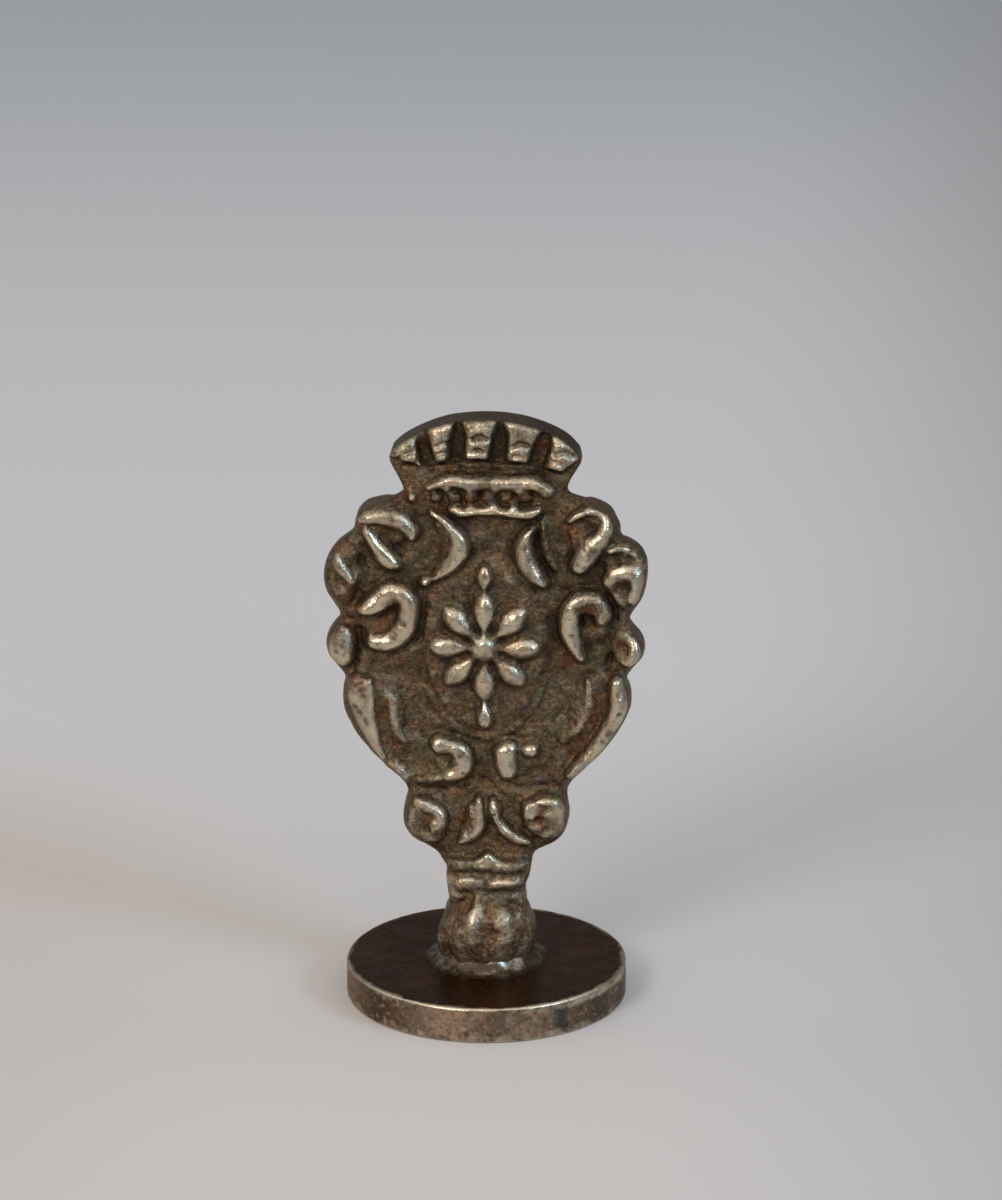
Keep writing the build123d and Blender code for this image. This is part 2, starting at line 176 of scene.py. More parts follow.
CUT_FADE = (0.05, -0.12)

# Solder
SOLDER_TURNS = 160
SOLDER_RING = 3.5
SOLDER_FLOOR = 2.605
SOLDER_FREE = (2.9, 3.4)
SOLDER_RISE = (2.6, 2.85)
SOLDER_RIM = (3.7, 4.4)

# Wear of the casting, with some painted highlight, and its patina in hollows deepened with painted shade;
# cavities are level, spread and share by blur reach in grid steps
BLUR_PASSES = 3
SOFT_STEPS = 1.6
CAVITIES = {1: (0.52, 0.2, 0.22), 3: (0.5, 0.17, 0.42), 5: (0.48, 0.2, 0.3)}
WEAR_BLUR = 3
WEAR_LEVEL = 0.525
WEAR_SPREAD = 0.17
PLATE_LIFT = (1.2, 1.75)
CROWN_LIFT = (0.95, 1.6)
CROWN_LIFT_SHARE = 0.66
NECK_LIFT = (0.6, 1.6)
NECK_LIFT_SHARE = 0.75
PIT_SHADE = 0.85
POLISH_AND_HIGHLIGHT_LIFT = (0.2, 0.7)
# Painted shade on the upper right of the plate; LOW_LIGHT darkens the lower plate less
RIGHT_SHADE = 0.3
RIGHT_FADE = (2.0, 6.0)
RIGHT_RISE = (22.0, 27.0)
LOW_LIGHT = 0.4
LOW_FADE = (22.0, 17.0)
# Painted shade on the floors of the crown's slots
SLOT_SHADE = 0.75
SLOT_FADE = (0.05, -0.2)
SLOT_LIFT = (1.45, 1.15)
TOP_SHADE = 0.7
TOP_BAND = (-0.4, -0.1)
TOP_LIFT = (1.35, 1.05)
GEM_LIGHT = 0.45
GEM_ROW = (-0.1, 37.25, 3.4, 0.42)
# Painted shadow low on the foot, above the solder; the foot is also darker below the neck
SEAT_SHADE = 0.45
SEAT_FADE = (4.3, 3.3)
FOOT_SHADE = 0.3
FOOT_FADE = (8.4, 7.4)
FOOT_RUST = 0.5
FOOT_RUST_FADE = (8.2, 7.0)

# Half outline of the plate from the neck upwards: height, reach on the left, reach on the right
OUTLINE = (
    (7, 2.55, 2.85), (8.2, 2.72, 2.8), (9.2, 2.8, 3.14), (10, 2.82, 3.26), (10.75, 3.75, 3.5),
    (11.5, 4.92, 4.8), (12.2, 5.63, 5.48), (13, 5.88, 5.82), (13.7, 5.87, 5.92), (14.5, 5.74, 5.85),
    (15.35, 5.55, 5.78), (16, 6.05, 6), (16.8, 6.92, 6.7), (18.2, 8.12, 8.06), (19.7, 9.32, 9.15),
    (20.9, 9.95, 9.86), (22, 10.12, 10.24), (23, 10.06, 10.18), (23.75, 9.96, 9.88), (24.6, 10.6, 10.26),
    (25.4, 11.14, 10.98), (26.2, 11.25, 11.16), (26.9, 11.08, 10.86), (27.6, 10.62, 10.32),
    (28.25, 10.26, 10.03), (29, 10.65, 10.42), (29.9, 11.2, 11), (31, 11.36, 11.24),
    (32, 11.24, 11.3), (32.8, 10.9, 11.24), (33.5, 10.36, 10.74), (34.05, 9.7, 9.9), (34.5, 9.26, 9.42),
    (35.2, 9.12, 9.36), (35.85, 8.9, 8.94), (36.3, 8.34, 8.44), (36.62, 7.3, 7.85), (36.95, 6.34, 7.05),
    (37.45, 5.72, 5.78), (38.3, 5.97, 5.84), (39.3, 6.53, 6.4), (39.85, 6.72, 6.72),
)

# Top arc of the crown, left to right
CROWN_TOP = (
    (-6.5, 40.42), (-5.8, 41.03), (-4.8, 41.66), (-3.5, 42.23), (-1.8, 42.66), (0, 42.8), (1.6, 42.7),
    (3.1, 42.4), (4.75, 41.8), (5.8, 41.15), (6.45, 40.48),
)

# Slots between the merlons, from the top down: x, z and half width
SLOTS = (
    ((-4.3, 41.75, 0.1), (-4.27, 41.1, 0.31), (-4.1, 40.3, 0.37), (-3.74, 39.2, 0.37)),
    ((-1.85, 42.35, 0.1), (-1.86, 41.6, 0.34), (-1.92, 40.72, 0.41), (-2.02, 39.3, 0.42)),
    ((1.07, 42.45, 0.1), (1.08, 41.7, 0.36), (0.98, 40.8, 0.44), (0.72, 39.4, 0.44)),
    ((4.22, 41.9, 0.12), (4.1, 41.3, 0.36), (3.86, 40.6, 0.45), (3.42, 39.3, 0.45)),
)

# Curved nicks across the merlons: x and z
NICKS = (
    ((-5.97, 40), (-5.48, 40.36), (-5.01, 40.55)), ((-5.61, 39.45), (-5.02, 39.7), (-4.5, 39.84)),
    ((-3.33, 40.95), (-2.89, 41.2), (-2.5, 41.15)), ((-3.35, 40.3), (-2.89, 40.52), (-2.55, 40.45)),
    ((-0.8, 41.5), (-0.34, 41.74), (0.17, 41.52)), ((-0.86, 40.6), (-0.48, 40.82), (-0.08, 40.64)),
    ((1.92, 41.02), (2.43, 41.25), (3.01, 41.1)), ((1.6, 40.18), (2.14, 40.4), (2.75, 40.2)),
    ((4.91, 40.5), (5.57, 40.7), (6.2, 40.3)), ((4.4, 39.9), (4.95, 40.02), (5.55, 39.68)),
)

# Raised strokes of the relief: level of the worn top, then points as x, z and half width
STROKES = (
    # Brow, leaf, crescent and ear on the left
    (2, (-8.54, 35.58, 0.25), (-8, 35.88, 0.44), (-7.22, 35.94, 0.49), (-6.34, 35.68, 0.47),
     (-5.57, 35.29, 0.44), (-5.08, 34.79, 0.37), (-5.06, 34.38, 0.22)),
    (2.05, (-8.2, 34.75, 0.08), (-7.85, 34.1, 0.26), (-7.36, 33.4, 0.43), (-6.88, 32.86, 0.55),
     (-6.52, 32.55, 0.48), (-6.1, 32.34, 0.2)),
    (1.55, (-3.3, 35.3, 0.1), (-2.75, 34.6, 0.25), (-2.45, 33.6, 0.35), (-2.75, 32.7, 0.25),
     (-3.3, 32, 0.1)),
    (2.1, (-3.66, 36.18, 0.06), (-2.92, 35.68, 0.15), (-2.25, 35, 0.28), (-1.76, 34.3, 0.46),
     (-1.7, 33.48, 0.54), (-2.05, 32.7, 0.46), (-2.74, 31.98, 0.28), (-3.5, 31.4, 0.08)),
    (1.8, (-4.19, 31.07, 0.25)),
    (2, (-10.32, 32.95, 0.06), (-10.12, 32.25, 0.24), (-9.72, 31.72, 0.22), (-9.26, 31.06, 0.06)),
    (1.4, (-8.95, 33.74, 0.2), (-9.54, 33.88, 0.22), (-10.23, 33.45, 0.25), (-10.73, 32.42, 0.34),
     (-10.99, 31.39, 0.39), (-10.75, 30.26, 0.29)),
    # Hook, curl and rib on the left
    (1.95, (-8, 29, 0.2), (-7.3, 29.3, 0.3), (-6.6, 29.5, 0.2)),
    (2.05, (-8.5, 28.99, 0.29), (-7.86, 29.32, 0.54), (-7.26, 29.9, 0.54), (-6.47, 30.43, 0.54),
     (-5.69, 30.14, 0.56), (-5.3, 29.43, 0.59), (-5.36, 28.4, 0.61), (-5.66, 27.56, 0.64),
     (-6.3, 26.88, 0.61), (-7.09, 26.6, 0.54), (-7.78, 26.59, 0.42)),
    (1.85, (-10.11, 27.09, 0.54), (-10.17, 26.26, 0.79), (-9.93, 25.54, 0.59)),
    (1.9, (-8.9, 23.5, 0.6), (-8.78, 22.6, 0.78), (-8.55, 21.5, 0.62), (-8.2, 20.4, 0.45), (-7.8, 19.3, 0.28),
     (-7.3, 18.4, 0.14)),
    (1.45, (-7.3, 18.4, 0.14), (-6.2, 17.15, 0.12), (-5.5, 16.45, 0.1)),
    (2.12, (-8.1, 23.75, 0.06), (-8, 22.74, 0.1), (-7.98, 21.55, 0.1), (-7.76, 20.22, 0.08),
     (-7.5, 19.03, 0.05), (-7.1, 18, 0.04)),
    (1.62, (-7.45, 23.05, 0.03), (-6.73, 22.4, 0.05), (-6.5, 21.33, 0.05), (-6.18, 20.14, 0.05),
     (-5.69, 19.26, 0.03)),
    # Tendril, volute and tie on the left
    (2.05, (-3.15, 19.15, 0.56)),
    (2.05, (-3.15, 19.16, 0.3), (-2.28, 19.05, 0.42), (-1.66, 18.6, 0.55), (-1.55, 17.8, 0.66),
     (-1.9, 17.15, 0.56), (-2.5, 16.85, 0.36)),
    (1.62, (-2.6, 16.8, 0.26), (-3.6, 16.52, 0.22), (-4.8, 16.4, 0.1)),
    (2.08, (-4.7, 14.92, 0.1), (-3.99, 14.5, 0.2), (-3.3, 14.06, 0.27), (-3.1, 13.6, 0.34),
     (-3.36, 13.14, 0.42)),
    (1.55, (-5.2, 14.6, 0.04), (-5.2, 13.7, 0.1), (-4.95, 12.75, 0.12), (-4.3, 12, 0.06)),
    (1.68, (-0.95, 14.5, 0.12), (-1, 13.5, 0.24), (-1.5, 12.55, 0.2)),
    (2.05, (-0.45, 15, 0.12), (-0.35, 14.11, 0.24), (-0.42, 13.1, 0.34), (-0.92, 12.35, 0.3),
     (-1.65, 11.9, 0.12)),
    # Brow, crescent, frond and ear on the right
    (2, (5.9, 35.74, 0.08), (6.43, 36.16, 0.13), (7.21, 36.5, 0.18), (7.9, 36.46, 0.22),
     (8.42, 36.08, 0.25), (8.54, 35.45, 0.27), (8.17, 34.6, 0.4), (7.5, 33.89, 0.58), (6.95, 33.07, 0.64),
     (6.6, 32.5, 0.5)),
    (1.5, (2.5, 34.2, 0.1), (2.2, 33.4, 0.2), (2.45, 32.4, 0.2), (3, 31.6, 0.1)),
    (2.1, (3.3, 35.1, 0.1), (2.84, 34.45, 0.34), (2.75, 33.55, 0.5), (3.03, 32.52, 0.52), (3.6, 31.73, 0.46),
     (4.1, 31.22, 0.24)),
    (1.52, (4.05, 35.6, 0.03), (4.12, 34.5, 0.1), (4.3, 33.36, 0.1), (4.9, 32.2, 0.03)),
    (1.85, (8.75, 33.55, 0.03), (9.34, 33.8, 0.1), (10, 33.72, 0.14), (10.6, 33.25, 0.12),
     (10.9, 32.6, 0.06)),
    (1.9, (8.55, 31.38, 0.2), (9.18, 31.86, 0.34), (9.95, 32.13, 0.44), (10.55, 32, 0.47),
     (10.75, 31.45, 0.44), (10.6, 30.77, 0.34), (10.31, 30.04, 0.2)),
    # Hook, curl and rib on the right
    (1.9, (6.9, 29.35, 0.2), (7.6, 29.3, 0.26)),
    (2.05, (6.73, 25.82, 0.25), (6.28, 26.69, 0.44), (5.98, 27.51, 0.56), (5.93, 28.43, 0.59),
     (6.07, 29.36, 0.54), (6.56, 29.99, 0.44), (7.34, 30.11, 0.42), (8.02, 29.82, 0.44), (8.32, 29.21, 0.44),
     (8.18, 28.64, 0.29)),
    (1.85, (10.2, 28.1, 0.2), (10.6, 27.4, 0.34), (10.7, 26.65, 0.39), (10.5, 25.95, 0.34),
     (10.1, 25.39, 0.2)),
    (1.35, (9.1, 26.6, 0.1), (9.4, 27.3, 0.12), (9.95, 27.9, 0.1)),
    (2, (9.3, 23.9, 0.4), (9.46, 23, 0.56), (9.38, 21.8, 0.53), (8.82, 20.6, 0.48), (8.12, 19.5, 0.43),
     (7.37, 18.5, 0.36), (6.5, 17.6, 0.26), (5.97, 17.03, 0.16)),
    (1.6, (7.22, 24, 0.03), (7.34, 23.1, 0.05), (7.22, 22.07, 0.06), (6.75, 20.73, 0.06),
     (6.14, 20.04, 0.05), (5.5, 19.45, 0.03)),
    # Tendril, volute and tie on the right
    (2.08, (1.32, 18.68, 0.56), (1.62, 18.85, 0.58), (1.5, 18.2, 0.68), (1.55, 17.6, 0.58),
     (1.58, 17.15, 0.44)),
    (2, (3.02, 18.86, 0.36), (3.3, 18.88, 0.42)),
    (2.12, (3.05, 14.65, 0.24), (3.14, 14.1, 0.28)),
    (2.14, (3.72, 14.92, 0.06), (4.3, 15.1, 0.16), (4.95, 15.04, 0.2), (5.35, 14.6, 0.14)),
    (1.95, (5.3, 13.5, 0.2), (4.9, 12.9, 0.24), (4.3, 12.5, 0.12)),
    (2, (4.55, 14.2, 0.2)),
    (2.08, (0.58, 14.9, 0.12), (0.64, 14.35, 0.34)),
    (1.88, (0.7, 14.1, 0.26), (0.89, 13.5, 0.24), (1.5, 12.65, 0.3), (2.24, 12.16, 0.32), (3, 11.95, 0.16)),
    # Gable and collar of the neck
    (1.9, (0.18, 10.74, 0.2), (-0.86, 10.18, 0.05), (-1.83, 9.9, 0.02)),
    (1.9, (0.18, 10.74, 0.2), (1.35, 10.22, 0.05), (2.7, 10, 0.02)),
    (1.92, (-1.2, 9.95, 0.03), (0.34, 10.12, 0.16), (1.8, 9.98, 0.03)),
    (2.1, (-1.7, 8.82, 0.08), (-1.1, 8.9, 0.2), (-0.35, 8.84, 0.12)),
    (2.1, (0.55, 8.76, 0.12), (1.4, 8.88, 0.2), (2.4, 8.85, 0.08)),
    # Circlet of the crown, with pendants and spikes
    (2, (-3.9, 37.95, 0.08), (-3.3, 38.22, 0.2), (-2.55, 38.45, 0.36), (-1.37, 38.4, 0.42),
     (-0.21, 38.35, 0.42), (1.06, 38.38, 0.42), (2.32, 38.4, 0.42), (3.29, 38.4, 0.4), (3.97, 38.15, 0.32),
     (4.5, 37.85, 0.2)),
    (1.95, (-2.62, 37.9, 0.2)),
    (1.95, (-1, 37.95, 0.16)),
    (1.95, (0.76, 37.95, 0.2)),
    (1.95, (2.36, 37.9, 0.2)),
    (1.95, (4.26, 37.65, 0.2)),
    (1.9, (-2.31, 36.4, 0.15), (-1.58, 36.21, 0.22), (-0.41, 36.34, 0.22), (0.85, 36.34, 0.22),
     (2.02, 36.19, 0.25), (3.09, 36.16, 0.27), (3.72, 36.43, 0.15)),
    (1.8, (-1.78, 36.23, 0.15), (-2.03, 36.58, 0.12)),
    (1.75, (-0.8, 36.4, 0.1), (-1.02, 36.7, 0.06)),
    (1.8, (0.26, 36.37, 0.15), (0.63, 36.79, 0.12)),
    (1.8, (2.11, 36.36, 0.13), (1.97, 36.8, 0.11)),
    (1.45, (-5.3, 37.45, 0.35)),
    (1.75, (-5.1, 37.1, 0.12)),
)

# Grooves cut after the strokes: depth, then points as x, z and half width
GROOVES = (
    (0.3, ((-5.2, 15.75, 0.1), (-4.2, 15.6, 0.2), (-3, 15.55, 0.25), (-1.8, 15.85, 0.2),
           (-0.9, 16.4, 0.1))),
    (0.22, ((5.3, 16.05, 0.1), (4, 16, 0.2), (2.6, 15.75, 0.22), (1.2, 16.2, 0.1))),
    (0.4, ((-8.9, 27.4, 0.12), (-8.95, 26.4, 0.2), (-9.1, 25.2, 0.2), (-9.3, 24.4, 0.12))),
    (0.3, ((-9.4, 29.2, 0.1), (-8.9, 30.2, 0.2), (-8.5, 31.4, 0.2), (-8.7, 32.8, 0.1))),
    (0.3, ((8.6, 24.6, 0.15), (8.7, 25.6, 0.2), (8.9, 26, 0.12))),
    (0.35, ((9.2, 28.4, 0.1), (9, 29.4, 0.2), (8.6, 30.4, 0.15))),
    (0.42, ((-8.1, 28.5, 0.03), (-7.4, 28.62, 0.08), (-6.75, 28.9, 0.12), (-6.35, 29.25, 0.06))),
    (0.12, ((-7.1, 22.3, 0.1), (-7.05, 21.2, 0.2), (-6.8, 19.8, 0.2), (-6.2, 18.5, 0.1))),
    (0.2, ((8.22, 23.6, 0.25), (8.22, 22.3, 0.42), (7.74, 20.94, 0.42), (6.97, 19.58, 0.38),
           (6.13, 18.4, 0.2))),
    (0.2, ((3.6, 34.8, 0.03), (3.66, 33.6, 0.08), (4.1, 32.5, 0.08), (4.65, 31.6, 0.03))),
    (0.22, ((-2.6, 9.5, 0.1), (0, 9.5, 0.14), (2.9, 9.55, 0.1))),
    (0.22, ((-2.6, 8.1, 0.1), (0, 8.08, 0.14), (2.8, 8.2, 0.1))),
)

# Notches between the pendants of the circlet: x, z and radius
ARCHES = ((-3.3, 37.75, 0.34), (-1.82, 37.78, 0.4), (-0.1, 37.8, 0.4), (1.55, 37.82, 0.4), (3.3, 37.85, 0.42))

# Raised places that stay dark: x, z, half width, half height and share of the wear taken away
SHADES = (
    (-7, 36.5, 2.2, 0.55, 0.8), (-10.4, 27.3, 1, 0.8, 0.7), (-9.1, 23.9, 1.3, 0.7, 0.85),
    (9.4, 26.8, 0.75, 1.2, 0.9), (7.4, 29.3, 0.8, 0.5, 0.6), (-3.9, 16.5, 1.5, 0.4, 0.75),
    (4.4, 13.2, 1.6, 1.2, 0.4), (8, 29.6, 0.9, 0.9, 0.5), (-0.3, 37.25, 4, 0.4, 0.95),
    (-4.9, 12.9, 0.9, 1.5, 0.65), (-5.2, 35, 0.8, 0.7, 0.35), (1.9, 12.4, 1, 0.6, 0.55),
    (-1.45, 10, 1.1, 0.5, 0.8), (2.1, 10.05, 1, 0.45, 0.65), (-9.8, 31.9, 0.7, 1.1, 0.45),
    (4.4, 33.8, 0.45, 1.9, 0.75), (10.4, 31.8, 0.8, 0.7, 0.4), (-1.15, 13.4, 0.4, 1.2, 0.8),
    (9, 19.9, 0.9, 1.2, 0.25), (7.3, 18.3, 0.9, 0.7, 0.35), (-3.1, 37.35, 0.9, 0.45, 0.9),
    (3.2, 37.4, 0.8, 0.35, 0.7), (-9.2, 30.2, 1.2, 0.9, 0.7), (-8.9, 33.2, 0.7, 1, 0.6),
    (-11, 31.4, 0.5, 1.5, 0.7), (-2.5, 10, 0.7, 0.7, 0.8), (3.05, 10.1, 0.6, 0.7, 0.8),
    (10.65, 32.75, 0.45, 0.6, 0.6), (9.4, 31.6, 0.6, 0.6, 0.3), (7.5, 30, 0.9, 0.5, 0.35),
    (3.2, 32.4, 0.6, 0.6, 0.25),
)

# Small pits in the worn tops: x, z and radius
PITS = (
    (7.6, 33.77, 0.24), (6.95, 32.5, 0.16), (3.16, 32.99, 0.2), (4.05, 31.65, 0.2), (2.86, 33.85, 0.16),
    (6.5, 29.46, 0.2), (6.15, 27.6, 0.16), (-6.33, 27.09, 0.22), (-5.58, 28.1, 0.24), (-7.5, 33.05, 0.18),
    (-6.34, 35.76, 0.18), (-7.5, 26.6, 0.16), (-6.68, 29.32, 0.2), (-10.4, 25.95, 0.2), (-9.95, 26.4, 0.18),
    (9.38, 23.19, 0.22), (9.45, 21.86, 0.24), (8.7, 20.35, 0.24), (8.28, 19.75, 0.2), (7.6, 19.1, 0.2),
    (-8.53, 22.72, 0.2), (-9.1, 21.9, 0.22), (-8.4, 20.94, 0.18), (-8.75, 21.5, 0.18), (-1.5, 17.2, 0.18),
    (-2, 17.85, 0.16), (-3.12, 19.3, 0.14), (-1.71, 18.46, 0.18), (3.94, 14.86, 0.18), (5.2, 12.8, 0.18),
)

# Places where the edge is bright: rubbed wear on the lower left, and a painted highlight along the right-hand
# ear's rim: x, z, radius and share
POLISH_AND_HIGHLIGHTS = (
    (9.35, 33.82, 0.26, 0.5), (9.85, 33.7, 0.28, 0.7), (10.35, 33.4, 0.24, 0.6), (10.85, 32.9, 0.2, 0.35),
    (11.05, 32.4, 0.22, 0.6), (-7.05, 18.1, 0.4, 0.6), (-6.55, 17.5, 0.42, 0.75), (-6.05, 16.95, 0.4, 0.7),
    (-5.65, 16.5, 0.35, 0.6),
)

# Reddish places in the patina: x, z and radius
RUSTS = (
    (-4.9, 40.2, 0.9), (3.9, 40.8, 0.9), (-5.4, 37.6, 0.9), (-3.4, 36.2, 0.8), (-7, 27.8, 0.9),
    (-9.2, 29.6, 1), (-9.4, 27.4, 0.9), (-9, 23.8, 1), (-7.1, 20.8, 0.8), (-6.5, 19.3, 0.8),
    (-3.9, 13.8, 0.6), (-1.15, 13.6, 0.7), (8.15, 22.6, 0.9), (7.7, 21, 0.9), (6.9, 19.5, 0.8),
    (6.2, 18.5, 0.6), (9.8, 26.7, 0.7), (4, 13.1, 0.7), (-0.95, 37.2, 0.8), (3, 37.2, 0.7),
    (8.9, 31.2, 0.6), (7.4, 29.3, 0.5), (9.6, 26.8, 0.7), (6.1, 35, 0.8), (-1.9, 5.4, 0.8), (0.4, 4.3, 0.9),
    (-1.5, 4.4, 0.9), (-2.3, 6.3, 0.7), (5.8, 25.2, 0.9), (-2.4, 38.9, 0.6), (1.8, 37.3, 0.6),
)

# Hollows sunk into the ground: x, z, radius and depth
HOLLOWS = (
    (-7.4, 28.4, 0.85, 0.55), (7.15, 28.7, 0.75, 0.55), (-10.15, 30.9, 0.4, 0.35), (9.75, 31.1, 0.55, 0.5),
    (7.2, 35.4, 0.65, 0.45), (-4.05, 12.9, 0.35, 0.35), (3.75, 13.7, 0.35, 0.4), (9.7, 26.6, 0.55, 0.5),
    (9.3, 33, 0.5, 0.45), (10.1, 32.9, 0.4, 0.4), (-8.95, 32.3, 0.5, 0.45), (-6.6, 34.3, 0.6, 0.3),
    (-9, 29.9, 0.6, 0.3), (0.5, 33.6, 0.8, 0.2), (0.1, 16.2, 0.7, 0.35),
)

# Rounded bodies under the strokes: x, z, half width, half height and level
DOMES = (
    (-9.9, 31.4, 1.6, 2.3, 1.55), (-10.1, 26.3, 1.2, 1.6, 1.9), (-7.2, 35, 2, 1.5, 1.6),
    (-6.8, 28.5, 2, 2.1, 1.5), (9.8, 31.6, 1.6, 2.3, 1.75), (10, 26.7, 1.2, 1.6, 1.7),
    (7.1, 28.6, 1.9, 2, 1.5), (-4.25, 13.3, 1.75, 1.9, 1.75), (4.3, 13.85, 1.7, 1.75, 1.95),
    (-7.6, 20.8, 2, 3.4, 1.4), (7.8, 20.9, 2, 3.4, 1.4), (7.6, 34.6, 1.8, 2, 1.5),
    (-2.2, 18, 1.5, 1.5, 1.4), (2, 18.1, 1.5, 1.5, 1.4), (-7, 35.9, 1.9, 0.95, 1.8),
    (-3.35, 37.3, 0.48, 0.46, 1.64), (-2.1, 37.34, 0.55, 0.5, 1.64), (-0.95, 37.36, 0.55, 0.5, 1.64),
    (0.25, 37.38, 0.55, 0.5, 1.64), (1.48, 37.4, 0.55, 0.5, 1.64), (2.77, 37.42, 0.55, 0.5, 1.64),
)

# Foot radius by height
FOOT_PROFILE = (
    (2.3, 3.15), (2.9, 3.2), (3.6, 3.42), (4.6, 3.52), (5.4, 3.4), (6.2, 3.08), (6.9, 2.72), (7.6, 2.25),
    (8.3, 1.8),
)

# Upright folds of the foot: bearing from the front, spread and swell
FOOT_FOLDS = (
    (-13, 9, 0.3), (28, 11, 0.24), (8, 8, -0.14), (-42, 10, -0.1), (-92, 22, -0.28),
    (62, 15, 0.1), (160, 14, 0.2), (-160, 14, 0.2), (120, 12, 0.12), (-115, 14, 0.12),
)

# Dark and pale places on the disc's side: bearing from the front, spread and share
DISC_DARK_PLACES = (
    (36, 4, 0.9), (45, 5, 0.6), (58, 13, 0.85), (82, 22, 0.95), (-46, 15, 0.75),
    (-80, 14, 0.4), (150, 20, 0.5), (-140, 9, 0.6),
)
DISC_PALES = ((-11, 9, 0.75), (2, 9, 0.5), (18, 8, 0.3), (-120, 14, 0.4), (110, 12, 0.4))

# Section of the solder: radius and height
SOLDER_SECTION = (
    (2.75, 2.62), (2.75, 3), (3.1, 3.55), (3.32, 3.24), (3.54, 3), (3.8, 2.83), (4.08, 2.71),
    (4.34, 2.64), (4.45, 2.605),
)


def smoothstep(low, high, value):
    t = np.clip((value - low) / (high - low), 0.0, 1.0)
    return t * t * (3.0 - 2.0 * t)


def bell(value, middle, spread):
    """Share that is 1 at the middle and fades on both sides."""
    return np.exp(-((value - middle) / spread) ** 2)


def hump(x, z, cx, cz, wide, tall=None):
    return bell(x, cx, wide) * bell(z, cz, tall or wide)


def between(values, base, t):
    """Values of a repeating grid, at shares t of the way from its nodes to the next ones."""
    total = 0.0
    for corner in np.ndindex(*(2,) * values.ndim):
        weight = np.prod(np.where(corner, t, 1.0 - t), axis=-1)
        total = total + weight * values[tuple(np.moveaxis((base + corner) % values.shape, -1, 0))]
    return total


def lattice_noise(points, size, seed):
    """Smooth noise from -1 to 1 on points of shape (..., dimensions), with grains of the given size."""
    points = np.asarray(points, dtype=np.float32) / size
    shape = (NOISE_SIDE,) * points.shape[-1]
    table = np.random.default_rng(seed).uniform(-1.0, 1.0, shape).astype(np.float32)
    base = np.floor(points).astype(np.int32)
    return between(table, base, smoothstep(0.0, 1.0, points - base))


def layered_noise(points, layers):
    """Sum of noises, each given by its height, grain size and seed."""
    return sum(height * lattice_noise(points, size, seed) for height, size, seed in layers)


def spline(points, steps):
    """Catmull-Rom samples through points of any dimension."""
    points = np.array(points, dtype=float)
    if len(points) == 1:
        return points
    padded = np.vstack((2 * points[0] - points[1], points, 2 * points[-1] - points[-2]))
    t = np.linspace(0.0, 1.0, steps, endpoint=False)[:, None]
    runs = []
    for i in range(len(points) - 1):
        a, b, c, d = padded[i:i + 4]
        runs.append(0.5 * (2 * b + (c - a) * t + (2 * a - 5 * b + 4 * c - d) * t ** 2
                           + (3 * b - a - 3 * c + d) * t ** 3))
    runs.append(points[-1:])
    return np.vstack(runs)


def stroke_edge(x, z, points):
    """Distance outside a stroke of varying width, negative inside it."""
    edge = np.full(x.shape, FAR, dtype=np.float32)
    for px, pz, half in spline(points, STROKE_STEPS):
        edge = np.minimum(edge, np.hypot(x - px, z - pz) - max(half, STROKE_MIN))
    return edge


def outline_distance(x, z, loop):
    """Depth inside a closed outline, negative outside."""
    near = np.full(x.shape, FAR, dtype=np.float32)
    inside = np.zeros(x.shape, dtype=bool)
    for (ax, az), (bx, bz) in zip(loop, np.roll(loop, -1, axis=0)):
        ex, ez = bx - ax, bz - az
        t = np.clip(((x - ax) * ex + (z - az) * ez) / max(ex * ex + ez * ez, TINY), 0.0, 1.0)
        near = np.minimum(near, np.hypot(x - ax - t * ex, z - az - t * ez))
        if az != bz:
            inside ^= ((az > z) != (bz > z)) & (x < ax + (z - az) * ex / ez)
    return np.where(inside, near, -near)


def raised(height, edge, level, wall):
    """Raises a stroke with steep rounded shoulders and a worn, nearly flat top."""
    shoulder = np.sin(np.clip(-edge / wall, 0.0, 1.0) * pi / 2)
    swell = TOP_SWELL * np.clip(-edge / wall - TOP_SWELL_START, 0.0, 1.0)
    return np.where(edge < 0, np.maximum(height, height + (level + swell - height) * shoulder), height)


def rosette():
    """Petals and leaflets on the shield: half width, then points as x, z and half width."""
    petals = []
    for turn in PETAL_TURNS:
        for root, tip, half in (PETAL, LEAFLET) if turn in LEAFLET_TURNS else (PETAL,):
            points = []
            for along, wide in PETAL_PROFILE:
                reach = root + (tip - root) * along
                place = (SHIELD_CENTRE[0] + reach * cos(turn), SHIELD_CENTRE[1] + reach * sin(turn))
                points.append((*place, half * wide))
            petals.append((half, points))
    return petals


def crown_top(x):
    top_x, top_z = spline(CROWN_TOP, OUTLINE_STEPS).T
    return np.interp(x, top_x, top_z)


def slot_edge(x, z, cap):
    """Distance outside the crown's slots, which stop short of its top arc."""
    slot = np.minimum.reduce([stroke_edge(x, z, points) for points in SLOTS])
    return np.maximum(slot, z - crown_top(x) + cap)


